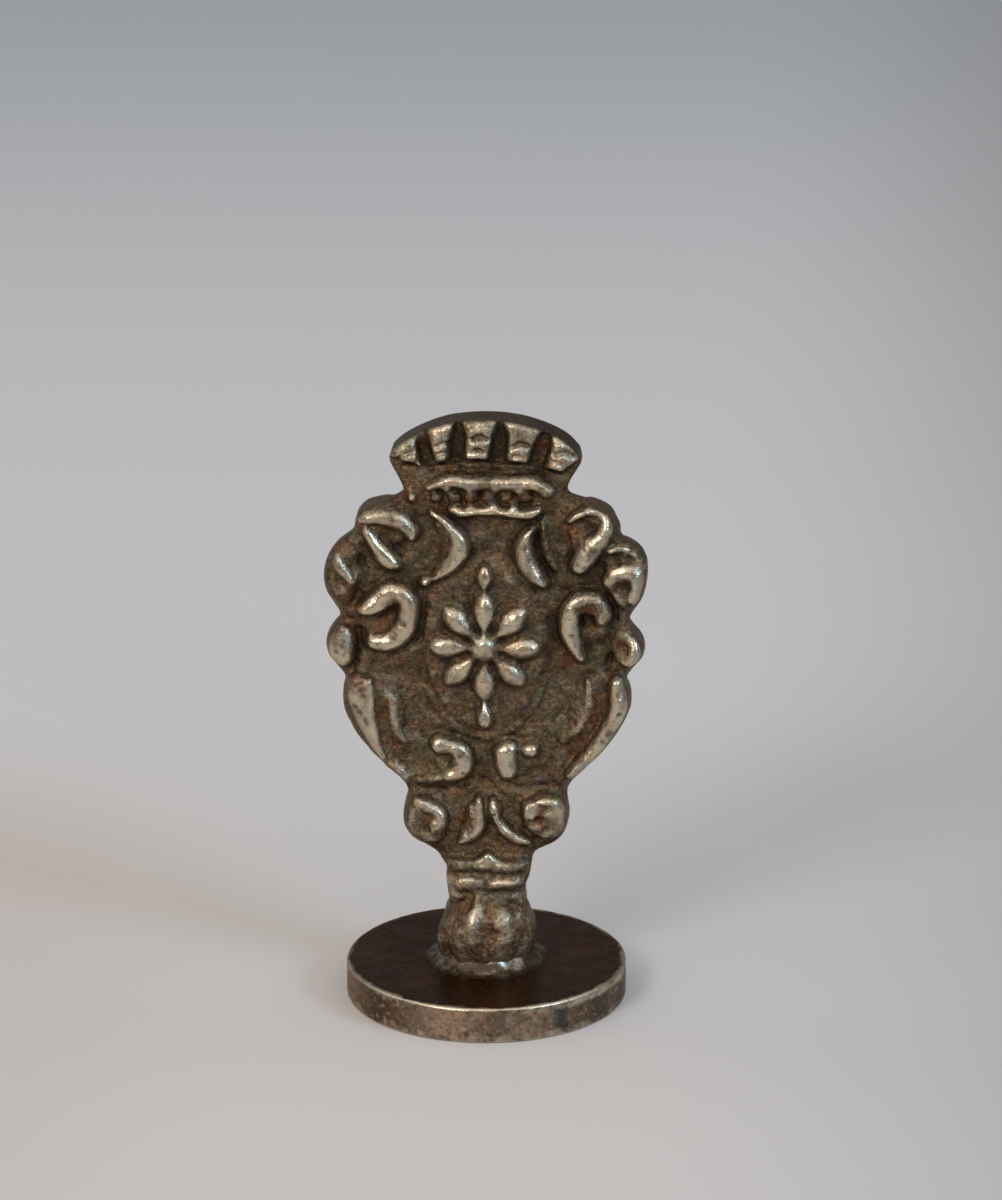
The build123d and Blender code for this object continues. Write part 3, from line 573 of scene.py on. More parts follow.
def relief(x, z, cap):
    """Half thickness of the plate over one face, with slots that end the given cap below the crown's top."""
    flat = np.stack((x, z), axis=-1)
    lumps = lattice_noise(flat, LUMP_SIZE, LUMP_SEED)
    neck = smoothstep(NECK_TOP + NECK_FADE, NECK_TOP - NECK_FADE, z)
    height = GROUND + GROUND_LUMP * lumps + (NECK_DEPTH - GROUND) * neck
    for cx, cz, wide, tall, level in DOMES:
        share = np.clip(1.0 - ((x - cx) / wide) ** 2 - ((z - cz) / tall) ** 2, 0.0, 1.0)
        height = np.maximum(height, GROUND + DOME_LUMP * lumps + (level - GROUND) * np.sqrt(share))
    for hx, hz, radius, depth in HOLLOWS:
        height -= depth * hump(x, z, hx, hz, radius)

    sx = x - SHIELD_CENTRE[0]
    sz = z - SHIELD_CENTRE[1]
    ring = np.hypot(sx / SHIELD_HALF[0], sz / SHIELD_HALF[1])
    shield = SHIELD_DEPTH + SHIELD_DOME * (1.0 - ring ** 2)
    height += np.maximum(shield - height, 0.0) * smoothstep(*SHIELD_FADE, ring)
    rim = np.clip(1.0 - np.abs(ring - 1.0) * SHIELD_REACH / RIM_WIDTH, 0.0, 1.0)
    height += RIM_HEIGHT * rim * smoothstep(*RIM_FADE, z)

    strokes = [(stroke_edge(x, z, points) - STROKE_SPREAD, level) for level, *points in STROKES]
    nearest = np.minimum.reduce([edge + STROKE_LOW_REACH * (STROKE_FULL - level) for edge, level in strokes])
    height += SKIRT_RISE * bell(np.maximum(nearest, 0.0), 0.0, SKIRT_WIDTH)
    height -= MOAT_DEPTH * bell(nearest, MOAT_SHIFT, MOAT_WIDTH)

    wave = layered_noise(flat, WAVE)
    forms = [(edge, level + wave, WALL_RUN) for edge, level in strokes]
    forms += [(stroke_edge(x, z, points), PETAL_LEVEL, PETAL_WALL * half) for half, points in rosette()]
    forms.append((np.hypot(sx, sz) - BOSS_RADIUS, BOSS_LEVEL, PETAL_WALL * BOSS_RADIUS))
    for edge, level, wall in forms:
        height = raised(height, edge, level, wall)

    for cx, cz, radius in ARCHES:
        height -= ARCH_DEPTH * smoothstep(radius, radius - ARCH_FADE, np.hypot(x - cx, z - cz))
    for depth, points in GROOVES:
        height -= depth * smoothstep(*GROOVE_FADE, stroke_edge(x, z, points))

    reach = np.hypot(x, z - FAN_CENTRE)
    turn = np.degrees(np.arctan2(x, z - FAN_CENTRE))
    foot = MERLON_FOOT + MERLON_LEFT[1] * np.maximum(-turn - MERLON_LEFT[0], 0.0)
    foot = foot + MERLON_RIGHT[1] * np.maximum(turn - MERLON_RIGHT[0], 0.0)
    crown = smoothstep(*CROWN_FOOT_FADE, reach - foot)
    height = height * (1.0 - crown) + (SLOT_FLOOR + SLOT_LUMP * lumps) * crown
    merlon = np.maximum(-slot_edge(x, z, cap), foot - reach)
    level = CROWN_DEPTH - CROWN_LEAN * (reach - foot) + wave
    level = level - CROWN_FADE * smoothstep(*MERLON_FADE, np.abs(turn))
    height = raised(height, merlon, level, CROWN_WALL)
    for nick in NICKS:
        points = [(nx, nz, NICK_HALF) for nx, nz in nick]
        height -= NICK_DEPTH * smoothstep(*NICK_FADE, stroke_edge(x, z, points))
    for px, pz, radius in PITS:
        height -= PIT_DEPTH * hump(x, z, px, pz, radius)
    crest = np.minimum.reduce([merlon] + [edge for edge, level, wall in forms])
    tops = smoothstep(0.0, TOP_FADE, -crest)
    return height + layered_noise(flat, GRAIN) * (1.0 - TOP_SMOOTHING * tops)


def casting_field():
    """Signed field of the casting on a grid, negative inside."""
    axes = [np.arange(low, high, GRID_STEP, dtype=np.float32) for low, high in zip(GRID_LOW, GRID_HIGH)]
    x, z = np.meshgrid(axes[0], axes[2], indexing="ij")
    left_edge = spline([(-left, level) for level, left, right in OUTLINE], OUTLINE_STEPS)
    right_edge = spline([(right, level) for level, left, right in OUTLINE], OUTLINE_STEPS)
    loop = np.vstack((left_edge, spline(CROWN_TOP, OUTLINE_STEPS), right_edge[::-1]))
    depth_in = outline_distance(x, z, loop)[:, None, :]
    across, y, up = np.ix_(*axes)
    heights = []
    eases = []
    for cap in (SLOT_CAP_FRONT, SLOT_CAP_BACK):
        height = relief(x, z, cap)
        slope_x, slope_z = np.gradient(height, GRID_STEP)
        heights.append(height[:, None, :])
        eases.append(1.0 / np.sqrt(1.0 + slope_x ** 2 + slope_z ** 2)[:, None, :])

    turned = EDGE_ROUND + (CROWN_ROUND - EDGE_ROUND) * smoothstep(*CROWN_ROUND_FADE, up)
    rise = np.abs(y) - np.where(y < 0, *heights) + turned
    run = turned - depth_in
    slab = np.minimum(np.maximum(rise, run), 0.0) - turned
    slab = (slab + np.hypot(np.maximum(rise, 0.0), np.maximum(run, 0.0))) * np.where(y < 0, *eases)

    levels, radii = spline(FOOT_PROFILE, FOOT_STEPS).T
    foot = np.hypot(across, y) - np.interp(up, levels, radii)
    low = axes[2] < FOOT_HIGH + FOOT_MARGIN
    places = np.stack(np.meshgrid(axes[0], axes[1], axes[2][low], indexing="ij"), axis=-1)
    foot[:, :, low] += layered_noise(places, FOOT_BUMPS)
    bearing = np.degrees(np.arctan2(across, -y))
    folds = sum(swell * bell(bearing, middle, spread) for middle, spread, swell in FOOT_FOLDS)
    foot = np.maximum(foot - folds * smoothstep(*FOLD_FADE, up), up - FOOT_HIGH)
    mix = np.clip(0.5 + 0.5 * (slab - foot) / FOOT_BLEND, 0.0, 1.0)
    field = slab * (1.0 - mix) + foot * mix - FOOT_BLEND * mix * (1.0 - mix)
    return np.maximum(field, FOOT_LOW - up).astype(np.float32)


def surface_net(field):
    """Points of the zero surface of a grid field, in grid steps, and its quads."""
    below = field < 0
    cells = np.array(field.shape) - 1
    corners = list(np.ndindex(2, 2, 2))
    count = np.zeros(cells, dtype=int)
    for i, j, k in corners:
        count += below[i:i + cells[0], j:j + cells[1], k:k + cells[2]]
    where = np.argwhere((count > 0) & (count < len(corners)))
    index = np.full(cells, -1)
    index[tuple(where.T)] = np.arange(len(where))
    total = np.zeros(where.shape)
    hits = np.zeros((len(where), 1))
    for axis, step in enumerate(np.eye(3, dtype=int)):
        for corner in corners:
            if corner[axis]:
                continue
            start = where + corner
            a = field[tuple(start.T)]
            b = field[tuple((start + step).T)]
            cross = (a < 0) != (b < 0)
            t = np.where(cross, a / np.where(cross, a - b, 1.0), 0.0)
            total += cross[:, None] * (corner + t[:, None] * step)
            hits += cross[:, None]

    quads = []
    for axis in range(3):
        edge = np.argwhere(np.diff(below, axis=axis))
        u, v = (axis + 1) % 3, (axis + 2) % 3
        edge = edge[((edge > 0) & (edge < cells))[:, [u, v]].all(axis=1)]
        ring = []
        for du, dv in ((1, 1), (0, 1), (0, 0), (1, 0)):
            cell = edge.copy()
            cell[:, u] -= du
            cell[:, v] -= dv
            ring.append(index[tuple(cell.T)])
        ring = np.stack(ring, axis=1)
        quads.append(np.where(below[tuple(edge.T)][:, None], ring, ring[:, ::-1]))
    return where + total / hits, np.vstack(quads)


def blurred(values, radius):
    """Passes of a box blur along each axis."""
    for axis in list(range(values.ndim)) * BLUR_PASSES:
        pad = [(0, 0)] * values.ndim
        pad[axis] = (radius, radius)
        windows = sliding_window_view(np.pad(values, pad, mode="edge"), 2 * radius + 1, axis=axis)
        values = windows.mean(axis=-1)
    return values


def mesh_object(name, points, faces, attributes=None):
    mesh = bpy.data.meshes.new(name)
    mesh.from_pydata((np.asarray(points) * MM).tolist(), [], [list(map(int, face)) for face in faces])
    mesh.polygons.foreach_set("use_smooth", [True] * len(mesh.polygons))
    for key, values in (attributes or {}).items():
        layer = mesh.attributes.new(key, "FLOAT", "POINT")
        layer.data.foreach_set("value", np.asarray(values, dtype=np.float32))
    mesh.update()
    piece = bpy.data.objects.new(name, mesh)
    bpy.context.scene.collection.objects.link(piece)
    return piece


def build_casting():
    """Casting, with each point's wear and painted highlight, its patina and painted shade, and its redness.
    """
    field = casting_field()
    places, quads = surface_net(field)
    points = GRID_LOW + places * GRID_STEP
    x, y, z = points.T
    out = np.abs(y)
    solid = np.clip(0.5 - field / (SOFT_STEPS * GRID_STEP), 0.0, 1.0)
    cell = np.floor(places).astype(int)
    filled = {reach: between(blurred(solid, reach), cell, places - cell) for reach in CAVITIES}

    lift = smoothstep(*PLATE_LIFT, out)
    lift = np.where(z > CROWN_LOW, CROWN_LIFT_SHARE * smoothstep(*CROWN_LIFT, out), lift)
    lift = np.where(z < NECK_TOP, NECK_LIFT_SHARE * smoothstep(*NECK_LIFT, out), lift)
    blotch = np.clip(BLOTCH_BASE + layered_noise(points, BLOTCH), 0.0, 1.0)
    wear_and_sheen = np.clip((WEAR_LEVEL - filled[WEAR_BLUR]) / WEAR_SPREAD, 0.0, 1.0) * lift * blotch
    for sx, sz, wide, tall, share in SHADES:
        wear_and_sheen *= 1.0 - share * hump(x, z, sx, sz, wide, tall)
    for px, pz, radius in PITS:
        wear_and_sheen *= 1.0 - PIT_SHADE * hump(x, z, px, pz, radius)
    # Rubbed edges, and a painted highlight along the right-hand ear's rim
    for px, pz, radius, share in POLISH_AND_HIGHLIGHTS:
        rubbed_and_highlit = share * hump(x, z, px, pz, radius)
        wear_and_sheen = np.maximum(wear_and_sheen, rubbed_and_highlit * smoothstep(*POLISH_AND_HIGHLIGHT_LIFT, out))

    # Patina in the hollows, deepened with painted shade where the blurred solid is thick
    patina_and_shade = np.zeros(len(points))
    for reach, (level, spread, share) in CAVITIES.items():
        patina_and_shade += share * np.clip((filled[reach] - level) / spread, 0.0, 1.0)
    # Painted shade on the upper right of the plate; below it, the lower plate is darkened less
    patina_and_shade += RIGHT_SHADE * smoothstep(*RIGHT_FADE, x) * smoothstep(*RIGHT_RISE, z)
    patina_and_shade -= LOW_LIGHT * smoothstep(*LOW_FADE, z)
    # Painted shade on the floors of the crown's slots
    slot = slot_edge(x, z, np.where(y < 0, SLOT_CAP_FRONT, SLOT_CAP_BACK))
    patina_and_shade += SLOT_SHADE * smoothstep(*SLOT_FADE, slot) * smoothstep(*SLOT_LIFT, out)
    patina_and_shade += TOP_SHADE * smoothstep(*TOP_BAND, z - crown_top(x)) * smoothstep(*TOP_LIFT, out)
    patina_and_shade -= GEM_LIGHT * hump(x, z, *GEM_ROW)
    # Painted shadow low on the foot above the solder, and the foot darker below the neck
    patina_and_shade += SEAT_SHADE * smoothstep(*SEAT_FADE, z) + FOOT_SHADE * smoothstep(*FOOT_FADE, z)

    rust = FOOT_RUST * smoothstep(*FOOT_RUST_FADE, z)
    for rx, rz, radius in RUSTS:
        rust = np.maximum(rust, hump(x, z, rx, rz, radius))
    return mesh_object("silver_casting", points, quads, {"wear_and_sheen": wear_and_sheen, "patina_and_shade": patina_and_shade, "rust": rust})


def ring_faces(rows, turns, closed):
    """Quads between rings of points; a closed section runs the other way and joins its ends."""
    corners = ((0, 0), (1, 0), (1, 1), (0, 1)) if closed else ((0, 0), (0, 1), (1, 1), (1, 0))
    faces = []
    for row in range(rows if closed else rows - 1):
        for turn in range(turns):
            faces.append([(row + down) % rows * turns + (turn + on) % turns for down, on in corners])
    return faces


def marks(bearing, places):
    """Largest share of the marks at a bearing."""
    return np.maximum.reduce([share * bell(bearing, middle, spread) for middle, spread, share in places])


def disc_rows():
    """Radius, level and zone of the disc's rings, from the middle of its face, round its side, to its top."""
    flat = DISC_RADIUS - DISC_RIM
    high = DISC_HEIGHT - DISC_RIM
    rows = [(flat * t, 0.0, "under") for t in np.linspace(DISC_EYE, 1.0, UNDER_ROWS, endpoint=False)]
    for a in np.linspace(-pi / 2, 0.0, RIM_ROWS):
        rows.append((flat + DISC_RIM * cos(a), DISC_RIM + DISC_RIM * sin(a), "side"))
    rows += [(DISC_RADIUS, level, "side") for level in np.linspace(DISC_RIM, high, SIDE_ROWS)[1:-1]]
    for a in np.linspace(0.0, pi / 2, RIM_ROWS):
        rows.append((flat + DISC_RIM * cos(a), high + DISC_RIM * sin(a), "side"))
    rows += [(flat * t, DISC_HEIGHT, "top") for t in np.linspace(1.0, DISC_EYE, TOP_ROWS)[1:]]
    return rows


def device_edge(x, y, radius):
    """Distance outside the border, eye and petals that are cut under the disc."""
    edge = np.full(x.shape, min(abs(radius - BORDER_RADIUS) - BORDER_HALF, radius - EYE_RADIUS))
    for turn in PETAL_TURNS:
        along = (x * cos(turn) + y * sin(turn) - DEVICE_ROOT) / DEVICE_LENGTH
        across = np.abs(y * cos(turn) - x * sin(turn))
        half = DEVICE_WIDTH * np.minimum(along, 1.0 - along)
        edge = np.minimum(edge, np.where((along > 0) & (along < 1), across - half, FAR))
    return edge


def build_disc():
    """Disc with soft rims, worn and with a painted highlight along them, small dents and the rosette cut
    under it.
    """
    angles = np.arange(DISC_TURNS) * 2.0 * pi / DISC_TURNS
    rows = disc_rows()
    points = []
    wear_and_sheen = []
    for radius, level, zone in rows:
        x = radius * np.cos(angles)
        y = radius * np.sin(angles)
        z = np.full(DISC_TURNS, level)
        dents = np.maximum(layered_noise(np.stack((x, y, z), axis=-1), DENTS), 0.0)
        if zone == "under":
            z = z + CUT_DEPTH * smoothstep(*CUT_FADE, device_edge(x, y, radius))
        elif zone == "side":
            x = x * (1.0 - SIDE_DENT * dents)
            y = y * (1.0 - SIDE_DENT * dents)
        else:
            z = z - TOP_DENT * dents
        points.append(np.stack((x, y, z), axis=-1))
        # Rims worn, with a painted highlight along them, near the disc's edge
        worn_and_sheen_level = RIM_WEAR_AND_SHEEN_LEVEL * DISC_RIM
        edge = min(abs(level - worn_and_sheen_level), abs(level - DISC_HEIGHT + worn_and_sheen_level)) / DISC_RIM
        fade = smoothstep(*RIM_WEAR_AND_SHEEN_FADE, (DISC_RADIUS - radius) / DISC_RIM)
        wear_and_sheen.append(np.full(DISC_TURNS, max(0.0, 1.0 - edge) * fade))
    points = np.vstack(points)
    x, y, level = points.T
    bearing = np.degrees(np.arctan2(x, -y))
    band = BAND_LEFT + (BAND_RIGHT - BAND_LEFT) * smoothstep(*BAND_TURN, bearing)
    band = band * smoothstep(*BAND_HIGH_FADE, level) + BAND_LOW * smoothstep(*BAND_LOW_FADE, level)
    on_side = np.hypot(x, y) > DISC_RADIUS - BAND_EDGE * DISC_RIM
    tones = {
        "wear_and_sheen": np.maximum(np.concatenate(wear_and_sheen), band * on_side),
        "dark_place": marks(bearing, DISC_DARK_PLACES),
        "pale": marks(bearing, DISC_PALES),
    }
    faces = ring_faces(len(rows), DISC_TURNS, closed=False)
    faces.append(list(range(DISC_TURNS))[::-1])
    faces.append(list(range(len(points) - DISC_TURNS, len(points))))
    return mesh_object("seal_disc_worn", points, faces, tones)


def build_solder():
    """Low lumpy skirt of solder round the foot."""
    section = spline(SOLDER_SECTION, SOLDER_STEPS)
    angles = np.arange(SOLDER_TURNS) * 2.0 * pi / SOLDER_TURNS
    circle = np.stack((np.cos(angles), np.sin(angles)), axis=-1)
    loose = layered_noise(circle * SOLDER_RING, SOLDER_EDGE)
    points = []
    edge = []
    for radius, level in section:
        free = smoothstep(*SOLDER_FREE, radius)
        flat = (radius + free * loose)[:, None] * circle
        lumps = layered_noise(np.column_stack((flat, np.full(SOLDER_TURNS, level))), SOLDER_LUMPS)
        rise = level + free * smoothstep(*SOLDER_RISE, level) * lumps
        points.append(np.column_stack((flat, np.maximum(rise, SOLDER_FLOOR))))
        edge.append(np.full(SOLDER_TURNS, smoothstep(*SOLDER_RIM, radius)))
    faces = ring_faces(len(section), SOLDER_TURNS, closed=True)
    return mesh_object("solder_bead", np.vstack(points), faces, {"edge": np.concatenate(edge)})


class Nodes:
    """Short way to write a node tree."""

    def __init__(self, tree):
        self.tree = tree
        self.tree.nodes.clear()

    def put(self, socket, value):
        """Links an output to a socket, or sets a number, a linear colour or three display values on it."""
        if isinstance(value, bpy.types.NodeSocket):
            self.tree.links.new(value, socket)
        elif isinstance(value, tuple) and len(value) == 3:
            socket.default_value = linear(value)
        else:
            socket.default_value = value

    def add(self, kind, inputs=None, **settings):
        """Outputs of a new node."""
        node = self.tree.nodes.new(kind)
        for key, value in settings.items():
            setattr(node, key, value)
        for key, value in (inputs or {}).items():
            self.put(node.inputs[key], value)
        return node.outputs

    def noise(self, size, detail=3.0):
        """Noise with grains of the given size in millimetres."""
        where = self.add("ShaderNodeTexCoord")["Object"]
        inputs = {"Vector": where, "Scale": 1.0 / (size * MM), "Detail": detail, "Roughness": 0.55}
        return self.add("ShaderNodeTexNoise", inputs)["Fac"]

    def value(self, name):
        return self.add("ShaderNodeAttribute", attribute_name=name)["Fac"]

    def part(self, vector, axis):
        return self.add("ShaderNodeSeparateXYZ", {0: vector})[axis]

    def math(self, operation, a, b=0.0):
        return self.add("ShaderNodeMath", {0: a, 1: b}, operation=operation)[0]

    def sway(self, value, noise, share):
        """Moves a value up and down with a noise."""
        return self.math("ADD", value, self.math("MULTIPLY", self.math("SUBTRACT", noise, 0.5), share))

    def spread(self, value, low, high, out_low=0.0, out_high=1.0):
        """Smooth step of a value from low to high."""
        inputs = {"Value": value, "From Min": low, "From Max": high, "To Min": out_low, "To Max": out_high}
        return self.add("ShaderNodeMapRange", inputs, interpolation_type="SMOOTHSTEP")["Result"]

    def mix(self, share, a, b):
        return self.add("ShaderNodeMix", {0: share, 6: a, 7: b}, data_type="RGBA")[2]

    def blend(self, share, a, b):
        return self.add("ShaderNodeMix", {0: share, 2: a, 3: b}, data_type="FLOAT")[0]

    def stained(self, base, layers):
        """Lays colours over a base where a noise is high."""
        for size, low, high, share, tint in layers:
            base = self.mix(self.spread(self.noise(size), low, high, 0.0, share), base, tint)
        return base

    def bump(self, height, distance, strength, before=None):
        inputs = {"Height": height, "Distance": distance * MM, "Strength": strength}
        if before is not None:
            inputs["Normal"] = before
        return self.add("ShaderNodeBump", inputs)["Normal"]

    def surface(self, inputs):
        shader = self.add("ShaderNodeBsdfPrincipled", inputs)["BSDF"]
        self.add("ShaderNodeOutputMaterial", {"Surface": shader})


def new_material(name):
    material = bpy.data.materials.new(name)
    material.use_nodes = True
    return material, Nodes(material.node_tree)


def linear(display):
    """Linear colour from three display values from 0 to 255."""
    parts = [v / 255.0 for v in display]
    return (*(v / 12.92 if v <= 0.04045 else ((v + 0.055) / 1.055) ** 2.4 for v in parts), 1.0)


# Colours of the casting in display values, or linear in a tint; stains start with grain size,
# noise from and to, and share
BROWN = ((76, 57, 40), (122, 98, 70))
OLIVE = ((76, 67, 49), (114, 103, 78))
MAUVE = ((78, 65, 57), (116, 100, 88))
RED = ((84, 49, 29), (122, 78, 48))
# Colour of the patina in hollows, also laid on as painted shade
SUNK_PATINA_AND_SHADE = (56, 42, 30)
# Painted glints on the ground
PAINTED_GLINT = (172, 152, 122)
SILVER = ((216, 200, 172), (200, 189, 168))
PIT = (64, 52, 38)
CASTING_TINT = (0.85, 0.79, 0.71, 1.0)
GROUND_STAINS = (
    (0.8, 0.52, 0.66, 0.6, (48, 36, 26)),
    (0.55, 0.55, 0.7, 0.55, (146, 123, 94)),
)
SILVER_STAINS = (
    (0.9, 0.5, 0.64, 0.55, (204, 168, 140)),
    (1.4, 0.52, 0.66, 0.5, (170, 172, 154)),
    (0.5, 0.54, 0.7, 0.6, (118, 99, 75)),
)

# Colours of the disc
DISC_TOP = ((40, 24, 13), (74, 50, 31))
DISC_TAN = (88, 55, 34)
WALL_GREY = ((108, 94, 79), (154, 140, 121))
WALL_PINK = ((116, 87, 68), (158, 129, 106))
WALL_PALE = (194, 160, 131)
WALL_DARK = ((70, 49, 33), (64, 62, 58))
LIGHT_SPECK = (186, 172, 150)
DARK_SPECK = (62, 53, 45)
# Worn rim colour, also the painted highlight along the disc's rims
RUBBED_AND_HIGHLIGHT = (200, 186, 162)
DISC_TINT = (0.86, 0.78, 0.72, 1.0)

# Colours of the solder
SOLDER_PALE = ((112, 102, 90), (160, 156, 148))
SOLDER_BROWN = (84, 68, 52)
SOLDER_DARK = (62, 45, 31)
SOLDER_TINT = (0.85, 0.78, 0.72, 1.0)

# Colours of the floor, with painted light: a warm painted shadow to the left, painted shade to the right and
# darker, cooler paper towards the back
PAPER = ((202, 197, 194), (208, 207, 209))
PAINTED_SHADOW_LEFT = (194, 180, 171)
PAINTED_SHADE_BACK = (180, 187, 194)
PAINTED_SHADE_RIGHT = (158, 157, 158)


def casting_material():
    """Brown patina in the hollows, deepened with painted shade, and worn silver on the raised places, with
    painted highlights on some rims and painted glints on the ground.
    """
    material, n = new_material("aged_silver_patina")
    broad = n.noise(2.0)
    patch = n.noise(0.8)
    grain = n.noise(0.3, 4.0)
    fine = n.noise(0.13, 2.0)
    # Worn silver, with the painted highlights that the wear mask carries
    polish_and_sheen = n.spread(n.sway(n.sway(n.value("wear_and_sheen"), grain, 0.6), patch, 0.45), 0.05, 0.8)

    speckle = n.spread(grain, 0.25, 0.75)
    ground = n.mix(n.spread(n.noise(1.5), 0.45, 0.6), n.mix(speckle, *BROWN), n.mix(speckle, *OLIVE))
    ground = n.mix(n.spread(n.noise(1.2), 0.5, 0.64, 0.0, 0.8), ground, n.mix(speckle, *MAUVE))
    ground = n.stained(ground, GROUND_STAINS)
    redden = n.math("MULTIPLY", n.value("rust"), n.spread(patch, 0.3, 0.6))
    redden = n.math("MAXIMUM", redden, n.spread(broad, 0.58, 0.72, 0.0, 0.3))
    ground = n.mix(redden, ground, n.mix(n.spread(grain, 0.3, 0.7), *RED))
    not_red = n.math("SUBTRACT", 1.0, n.math("MULTIPLY", redden, 0.7))
    # Patina and painted shade in the hollows, less where the ground is red
    patina_and_shade_share = n.math("MULTIPLY", n.spread(n.value("patina_and_shade"), 0.15, 1.0), not_red)
    # Painted glints: small bright flecks on the ground
    painted_glints = n.math("MULTIPLY", n.spread(fine, 0.6, 0.7), n.spread(patch, 0.4, 0.6, 0.1, 0.5))
    deep = n.mix(painted_glints, n.mix(patina_and_shade_share, ground, SUNK_PATINA_AND_SHADE), PAINTED_GLINT)

    bright = n.stained(n.mix(n.spread(broad, 0.35, 0.65), *SILVER), SILVER_STAINS)
    bright = n.mix(n.spread(fine, 0.64, 0.74, 0.0, 0.75), bright, PIT)
    dull = n.spread(grain, 0.3, 0.7, 0.28, 0.46)
    gloss = n.spread(patch, 0.3, 0.7, 0.17, 0.3)
    rough = n.bump(grain, 0.15, n.blend(polish_and_sheen, 1.0, 0.3))
    n.surface({
        "Base Color": n.mix(polish_and_sheen, deep, bright),
        "Metallic": n.blend(polish_and_sheen, 0.75, 0.97),
        "Specular Tint": CASTING_TINT,
        "Roughness": n.blend(polish_and_sheen, dull, gloss),
        "Normal": n.bump(fine, 0.05, n.blend(polish_and_sheen, 0.8, 0.3), rough),
    })
    return material


def disc_material():
    """Dark brown top, and a side with darker and paler places, lighter bands and rims that are worn and carry
    a painted highlight; positions are in metres.
    """
    material, n = new_material("browned_disc_metal")
    patch = n.noise(2.2)
    grain = n.noise(0.35, 4.0)
    fine = n.noise(0.1, 2.0)
    specks = n.noise(0.45, 2.0)
    top = n.mix(n.spread(grain, 0.3, 0.7), *DISC_TOP)
    top = n.mix(n.spread(n.noise(3.2), 0.48, 0.68, 0.0, 0.7), top, DISC_TAN)

    speckle = n.spread(grain, 0.25, 0.75)
    wall = n.mix(n.spread(patch, 0.4, 0.62), n.mix(speckle, *WALL_GREY), n.mix(speckle, *WALL_PINK))
    pale = n.math("MULTIPLY", n.value("pale"), n.spread(grain, 0.35, 0.6, 0.35, 1.0))
    wall = n.mix(pale, wall, WALL_PALE)
    dark = n.math("MAXIMUM", n.spread(n.noise(2.6), 0.5, 0.66, 0.0, 0.5), n.value("dark_place"))
    across = n.part(n.add("ShaderNodeTexCoord")["Object"], "X")
    wall = n.mix(dark, wall, n.mix(n.spread(across, -0.005, 0.003), *WALL_DARK))
    wall = n.mix(n.spread(specks, 0.58, 0.7, 0.0, 0.6), wall, LIGHT_SPECK)
    wall = n.mix(n.spread(specks, 0.42, 0.3, 0.0, 0.6), wall, DARK_SPECK)

    upright = n.part(n.add("ShaderNodeNewGeometry")["Normal"], "Z")
    side = n.spread(n.math("ABSOLUTE", upright), 0.75, 0.35)
    # Rubbed colour on the worn rims and their painted highlight
    polish_and_sheen = n.spread(n.sway(n.sway(n.value("wear_and_sheen"), patch, 1.6), grain, 0.5), 0.3, 0.9)
    n.surface({
        "Base Color": n.mix(polish_and_sheen, n.mix(side, top, wall), RUBBED_AND_HIGHLIGHT),
        "Metallic": n.blend(polish_and_sheen, 0.94, 0.96),
        "Specular Tint": DISC_TINT,
        "Roughness": n.blend(polish_and_sheen, n.spread(patch, 0.3, 0.7, 0.3, 0.44), 0.3),
        "Normal": n.bump(fine, 0.02, 0.4, n.bump(grain, 0.06, 0.5)),
    })
    return material


def solder_material():
    material, n = new_material("dull_solder")
    grain = n.noise(0.25, 4.0)
    pale = n.mix(n.spread(grain, 0.3, 0.7), *SOLDER_PALE)
    body = n.mix(n.spread(n.noise(0.9), 0.36, 0.56, 0.0, 0.9), pale, SOLDER_BROWN)
    n.surface({
        "Base Color": n.mix(n.math("MULTIPLY", n.value("edge"), 0.85), body, SOLDER_DARK),
        "Metallic": 0.92,
        "Specular Tint": SOLDER_TINT,
        "Roughness": n.spread(grain, 0.3, 0.7, 0.22, 0.38),
        "Normal": n.bump(grain, 0.05, 0.4),
    })
    return material


def floor_material():
    """Pale paper with painted light: lighter away from the front, a warm painted shadow left of the disc,
    painted shade to the right and darker, cooler towards the back; positions are in metres.
    """
    material, n = new_material("pale_paper")
    position = n.add("ShaderNodeNewGeometry")["Position"]
    across = n.part(position, "X")
    along = n.math("ADD", n.part(position, "Y"), n.part(position, "Z"))
    # Painted light: the paper a little lighter and cooler away from the front
    paper = n.mix(n.spread(along, -0.02, 0.12), *PAPER)
    # Painted warm shadow to the left of the disc
    left = n.math("MULTIPLY", n.spread(across, -0.012, -0.045, 0.0, 0.5), n.spread(along, 0.06, 0.0))
    paper = n.mix(left, paper, PAINTED_SHADOW_LEFT)
    # Painted shade, darker and cooler towards the back
    paper = n.mix(n.spread(along, 0.15, 0.4), paper, PAINTED_SHADE_BACK)
    # Painted shade to the right of the stamp
    right = n.spread(across, 0.008, 0.075, 0.0, 0.92)
    paper = n.mix(right, paper, PAINTED_SHADE_RIGHT)
    n.surface({"Base Color": paper, "Roughness": 0.85, "Specular IOR Level": 0.2})
    return material


# Floor
FLOOR_HALF = 1600.0
FLOOR_FRONT = -1200.0
FLOOR_BEND = 450.0
FLOOR_SWEEP = 350.0
FLOOR_SWEEP_STEPS = 13
FLOOR_TOP = 1300.0

# Light and camera, in metres and degrees; bearings run from the front to the right
SKY_LOW = (0.16, 0.156, 0.152, 1.0)
SKY_HIGH = (0.9, 0.87, 0.84, 1.0)
SKY_FADE = (0.05, 0.75)
LAMP_AIM = Vector((0.0, 0.0, 0.022))
LAMP_DISTANCE = 0.5
# Lamps: name, bearing, elevation, size, power and tint
LAMPS = (
    ("warm_lamp", -29.0, 32.0, 0.15, 0.8, (1.0, 0.92, 0.83)),
    ("cool_lamp", 58.0, 28.0, 0.14, 0.85, (0.42, 0.72, 1.0)),
)
CAMERA_BEARING = 4.0
CAMERA_ELEVATION = 17.95
CAMERA_DISTANCE = 0.35
CAMERA_SHIFT = 0.00104
CAMERA_HEIGHT = 0.02938
LENS = 150.0
SENSOR = 36.0
CLIP = (0.01, 20.0)


